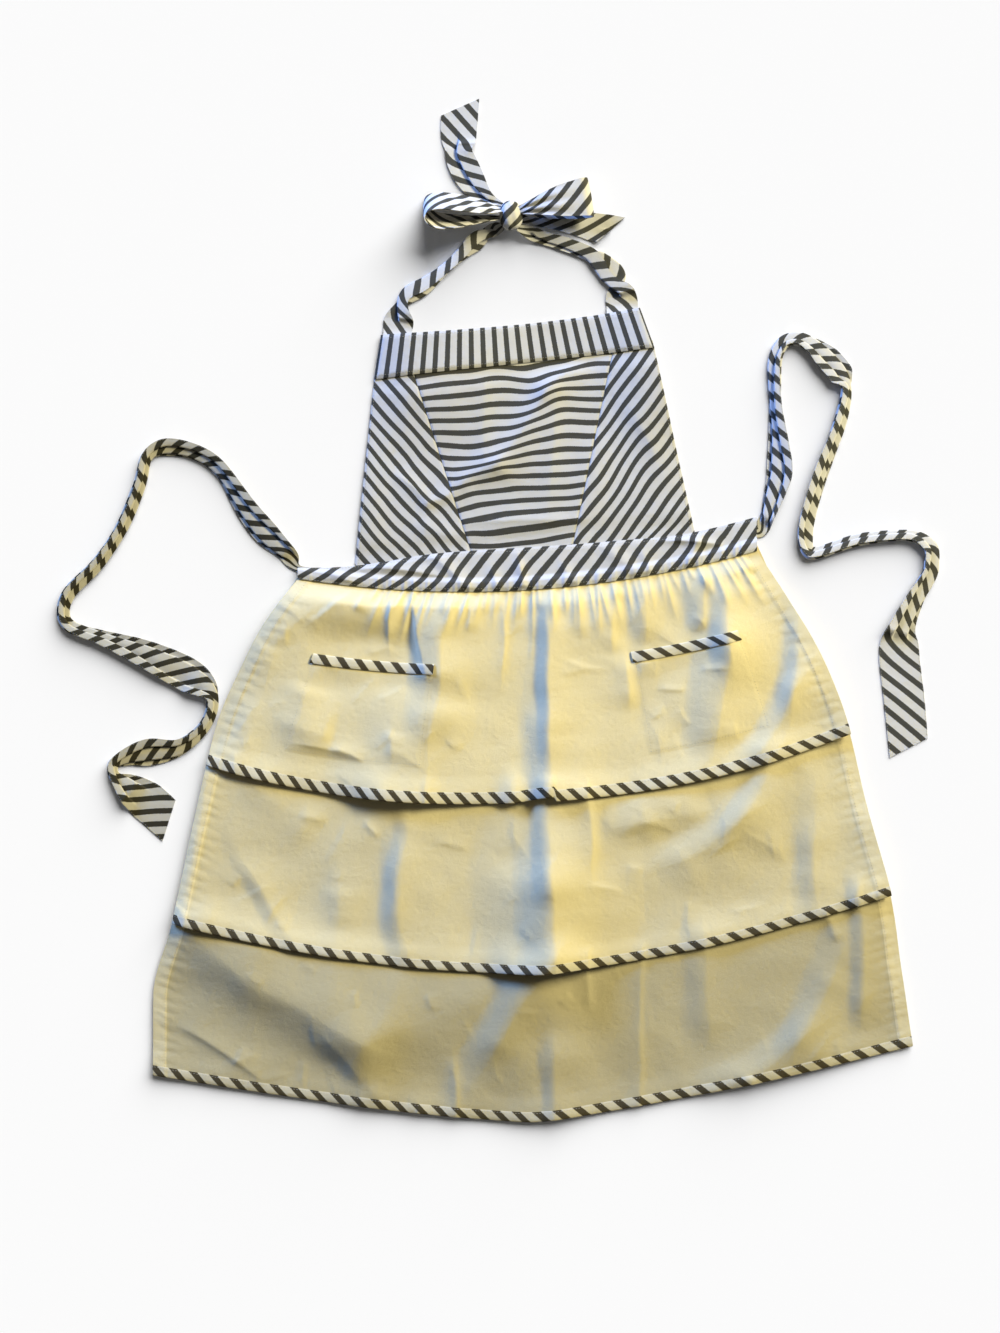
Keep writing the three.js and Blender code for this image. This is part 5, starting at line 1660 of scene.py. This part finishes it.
BOW_LOOPS = {
    "bow_loop_right": {"rows": BOW_LOOP_RIGHT, "direction": (-0.17, 0.985, 0), "seed": 431},
    "bow_loop_left": {"rows": BOW_LOOP_LEFT, "direction": (0.04, -0.58, 0.81), "seed": 443},
}
TIE_STATIONS = 460
TIE_WIDTH = 0.044
TIE_PLEATS = 2
TIE_STRIPE = 0.88
STRAP_STATIONS = 150
STRAP_WIDTH = 0.038
STRAP_START = 0.0045
TAIL_START = 0.005
LOOP_WIDTH = 0.042
KNOT_MIDDLE = (0.0113, 0.422, 0.0115)
KNOT_HALF = (0.0125, 0.0158, 0.0104)
KNOT_RINGS = 56
KNOT_SIDES = 96
KNOT_POWER = 0.75
# Ripples of the knot: their height, their count round it and their twist
KNOT_FOLD = (0.07, 3, 1.2)
KNOT_RIPPLE = (0.03, 7, 3)
KNOT_ANGLE = 40
KNOT_CLOTH = 0.012


def lay_ribbon(node, grid, uv):
    """A finished ribbon or loop: a wall of ribbon cloth about its grid, in the ticking, standing for its
    node.
    """
    # The left waist tie gets the ticking with painted shade
    material = striped_cotton(in_painted_shade=node == "waist_tie_left")
    piece = cloth_wall(node + "_cloth", grid, RIBBON_CLOTH, uv * TIE_STRIPE, material)
    piece_of(piece, node)


class APRON_OT_waist_ties(bpy.types.Operator):
    """Lay the two long waist ties in their bends"""

    bl_idname = "apron.waist_ties"
    bl_label = "Waist ties"

    def execute(self, context):
        for node, tie in WAIST_TIES.items():
            grid, uv = ribbon(
                tie["rows"], TIE_STATIONS, TIE_WIDTH, slant=tie["slant"], seed=tie["seed"],
                pleats=TIE_PLEATS,
            )
            lay_ribbon(node, grid, uv)
            sew_grid(grid, columns=(2, -3), lift=RIBBON_CLOTH / 2)
        return {"FINISHED"}


class APRON_OT_neck_straps(bpy.types.Operator):
    """Lead the two neck straps from the top band to the bow"""

    bl_idname = "apron.neck_straps"
    bl_label = "Neck straps"

    def execute(self, context):
        for node, strap in NECK_STRAPS.items():
            grid, uv = ribbon(
                strap["rows"], STRAP_STATIONS, STRAP_WIDTH, start=STRAP_START, end=strap["end"],
                seed=strap["seed"],
            )
            lay_ribbon(node, grid, uv)
        return {"FINISHED"}


class APRON_OT_bow(bpy.types.Operator):
    """Tie the bow: two tails, two loops and the knot"""

    bl_idname = "apron.bow"
    bl_label = "Bow"

    def execute(self, context):
        for node, tail in BOW_TAILS.items():
            grid, uv = ribbon(
                tail["rows"], tail["stations"], tail["full"], slant=tail["slant"], start=TAIL_START,
                seed=tail["seed"],
            )
            lay_ribbon(node, grid, uv)
        for node, loop in BOW_LOOPS.items():
            grid, uv = bow_loop(loop["rows"], loop["direction"], LOOP_WIDTH, loop["seed"])
            lay_ribbon(node, grid, uv)
        self.tie_knot()
        return {"FINISHED"}

    def tie_knot(self):
        """The knot: a rounded bundle about the Y axis whose radius ripples with three folds and seven
        smaller ripples that twist along it. Rings of points run from pole to pole; fans of triangles
        close the two poles."""
        polar = np.linspace(0, np.pi, KNOT_RINGS + 2)[1:-1, None]
        turn = np.linspace(0, 2 * np.pi, KNOT_SIDES + 1)[None, :]
        fold = KNOT_FOLD[0] * np.cos(KNOT_FOLD[1] * turn + KNOT_FOLD[2] * np.cos(polar))
        ripple = KNOT_RIPPLE[0] * np.cos(KNOT_RIPPLE[1] * turn + KNOT_RIPPLE[2] * polar)
        radius = np.sin(polar) ** KNOT_POWER * (1 + fold + ripple)
        level = np.broadcast_to(np.cos(polar), radius.shape)
        rings = np.stack((radius * np.cos(turn), level, radius * np.sin(turn)), axis=-1)[:, :-1]
        poles = np.array(((0, 1, 0), (0, -1, 0)))
        points = np.concatenate((rings.reshape(-1, 3), poles))
        points = points * np.array(KNOT_HALF) + np.array(KNOT_MIDDLE)
        count = rings.shape[0] * rings.shape[1]
        ring = np.arange(count).reshape(rings.shape[:2])
        ring = np.concatenate((ring, ring[:, :1]), axis=1)
        spot = turned(turn + 0 * polar, polar + 0 * turn, KNOT_ANGLE) * KNOT_CLOTH

        def corners(grid, first, last):
            """Values of a grid at the corners of its triangles and of the two fans."""
            a, b, c, d = grid[:-1, :-1], grid[:-1, 1:], grid[1:, 1:], grid[1:, :-1]
            ends = (
                np.stack((first, grid[0, 1:], grid[0, :-1]), axis=1),
                np.stack((last, grid[-1, :-1], grid[-1, 1:]), axis=1),
            )
            body = [np.stack(three, axis=-2 if a.ndim == 3 else -1) for three in ((a, b, c), (a, c, d))]
            return np.concatenate([part.reshape(-1, *part.shape[2:]) for part in body] + list(ends))

        columns = ring.shape[1] - 1
        faces = corners(ring, np.full(columns, count), np.full(columns, count + 1))
        uv = corners(spot, spot[0, :-1], spot[-1, :-1]).reshape(-1, 2)
        piece = mesh_object("bow_knot_cloth", points, faces, uv, striped_cotton())
        piece_of(piece, "bow_knot")


class APRON_OT_stitches(bpy.types.Operator):
    """Sew along every hem, band, pocket and tie"""

    bl_idname = "apron.stitches"
    bl_label = "Stitches"

    def execute(self, context):
        corners = np.concatenate([stitch_points(line, normals) for line, normals in STITCHES])
        STITCHES.clear()
        count = len(corners)
        faces = (np.arange(count)[:, None, None] * STITCH_CORNERS + STITCH_FACES).reshape(-1, 3)
        points = corners.reshape(-1, 3)
        piece = mesh_object("stitches", points, faces, points[:, :2], thread_material(), SMOOTH_ALL)
        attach(piece, "root")
        return {"FINISHED"}


SENSOR = 36
FLOOR_DEPTH = -0.0004
FLOOR_HALF = 20
WARM_PLACE = (4.85, 3.6, 3.5)
COOL_PLACE = (-4.6, 4.7, 1.8)
FLOOR_LIGHT_PLACE = (0.8, 1.4, 0.8)
FLOOR_LIGHT_ANGLE = 60
LAMP_SIZE = (3.4, 1.7)
WHITE = (1, 1, 1)


class APRON_OT_stage(bpy.types.Operator):
    """Set up the floor, the lights and the camera"""

    bl_idname = "apron.stage"
    bl_label = "Stage"

    def execute(self, context):
        settings = context.scene.apron_stage
        self.lay_floor(settings)
        self.light(settings)
        camera = bpy.data.cameras.new("camera")
        camera.sensor_width = SENSOR
        camera.lens = camera.sensor_width * settings.camera_height / settings.view_length
        viewer = bpy.data.objects.new("camera", camera)
        viewer.location = (0, settings.view_middle, settings.camera_height)
        context.scene.collection.objects.link(viewer)
        context.scene.camera = viewer
        context.scene.view_settings.view_transform = "Standard"
        return {"FINISHED"}

    def lay_floor(self, settings):
        """A square of floor, a hair below the cloth."""
        material = bpy.data.materials.new("floor")
        material.use_nodes = True
        shader = material.node_tree.nodes["Principled BSDF"]
        shader.inputs["Base Color"].default_value = (*settings.floor_colour, 1)
        shader.inputs["Roughness"].default_value = 1
        shader.inputs["Specular IOR Level"].default_value = 0
        corners = np.array(((-1, -1), (1, -1), (1, 1), (-1, 1))) * FLOOR_HALF
        points = np.concatenate((corners, np.full((4, 1), FLOOR_DEPTH)), axis=1)
        floor = mesh_object("floor", points, np.array(((0, 1, 2, 3),)), points[:, :2], material)
        floor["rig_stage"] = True

    def light(self, settings):
        """A warm soft light from the upper right and a low cool one from the upper left on the cloth, a
        white one on the floor, each aimed at the origin, and an even fill."""
        cloth = bpy.data.collections.new("lit_cloth")
        ground = bpy.data.collections.new("lit_floor")
        for piece in bpy.context.scene.collection.all_objects:
            if piece.type == "MESH":
                (ground if piece.get("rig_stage") else cloth).objects.link(piece)
        lamps = {
            "warm_light": (settings.warm_colour, settings.warm_power, WARM_PLACE, cloth),
            "cool_light": (settings.cool_colour, settings.cool_power, COOL_PLACE, cloth),
            "floor_light": (WHITE, settings.floor_power, FLOOR_LIGHT_PLACE, ground),
        }
        for name, (colour, power, place, lit) in lamps.items():
            lamp = bpy.data.lights.new(name, "SUN" if lit == ground else "AREA")
            lamp.color = colour
            lamp.energy = power
            if lit == ground:
                lamp.angle = math.radians(FLOOR_LIGHT_ANGLE)
            else:
                lamp.shape = "RECTANGLE"
                lamp.size, lamp.size_y = LAMP_SIZE
            holder = bpy.data.objects.new(name, lamp)
            holder.location = place
            tilt = math.atan2(math.hypot(place[0], place[1]), place[2])
            heading = math.atan2(-place[1], -place[0]) - math.pi / 2
            holder.rotation_euler = (tilt, 0, heading)
            bpy.context.scene.collection.objects.link(holder)
            holder.light_linking.receiver_collection = lit
        world = bpy.data.worlds.new("fill")
        world.use_nodes = True
        backdrop = world.node_tree.nodes["Background"]
        backdrop.inputs["Color"].default_value = (*WHITE, 1)
        backdrop.inputs["Strength"].default_value = settings.sky
        bpy.context.scene.world = world


PIECES = (
    APRON_OT_skirt, APRON_OT_pockets, APRON_OT_waistband, APRON_OT_bib, APRON_OT_waist_ties,
    APRON_OT_neck_straps, APRON_OT_bow, APRON_OT_stitches, APRON_OT_stage,
)


class APRON_PT_panel(bpy.types.Panel):
    """The apron's pieces and settings"""

    bl_label = "Pinafore Apron"
    bl_idname = "APRON_PT_panel"
    bl_space_type = "VIEW_3D"
    bl_region_type = "UI"
    bl_category = "Apron"

    def draw(self, context):
        for piece in PIECES:
            self.layout.operator(piece.bl_idname)
        for settings in (context.scene.apron_cloth, context.scene.apron_stage):
            box = self.layout.box()
            for name in settings.__annotations__:
                box.prop(settings, name)


CLASSES = (ApronCloth, ApronStage, *PIECES, APRON_PT_panel)


def register():
    """Makes the settings, the operators and the panel known to Blender."""
    for cls in CLASSES:
        bpy.utils.register_class(cls)
    bpy.types.Scene.apron_cloth = PointerProperty(type=ApronCloth)
    bpy.types.Scene.apron_stage = PointerProperty(type=ApronStage)


def unregister():
    """Takes them back, in the other order."""
    del bpy.types.Scene.apron_stage
    del bpy.types.Scene.apron_cloth
    for cls in reversed(CLASSES):
        bpy.utils.unregister_class(cls)


def main():
    """Makes every piece and the stage."""
    register()
    bpy.ops.apron.skirt()
    bpy.ops.apron.pockets()
    bpy.ops.apron.waistband()
    bpy.ops.apron.bib()
    bpy.ops.apron.waist_ties()
    bpy.ops.apron.neck_straps()
    bpy.ops.apron.bow()
    bpy.ops.apron.stitches()
    bpy.ops.apron.stage()


if __name__ == "__main__":
    main()
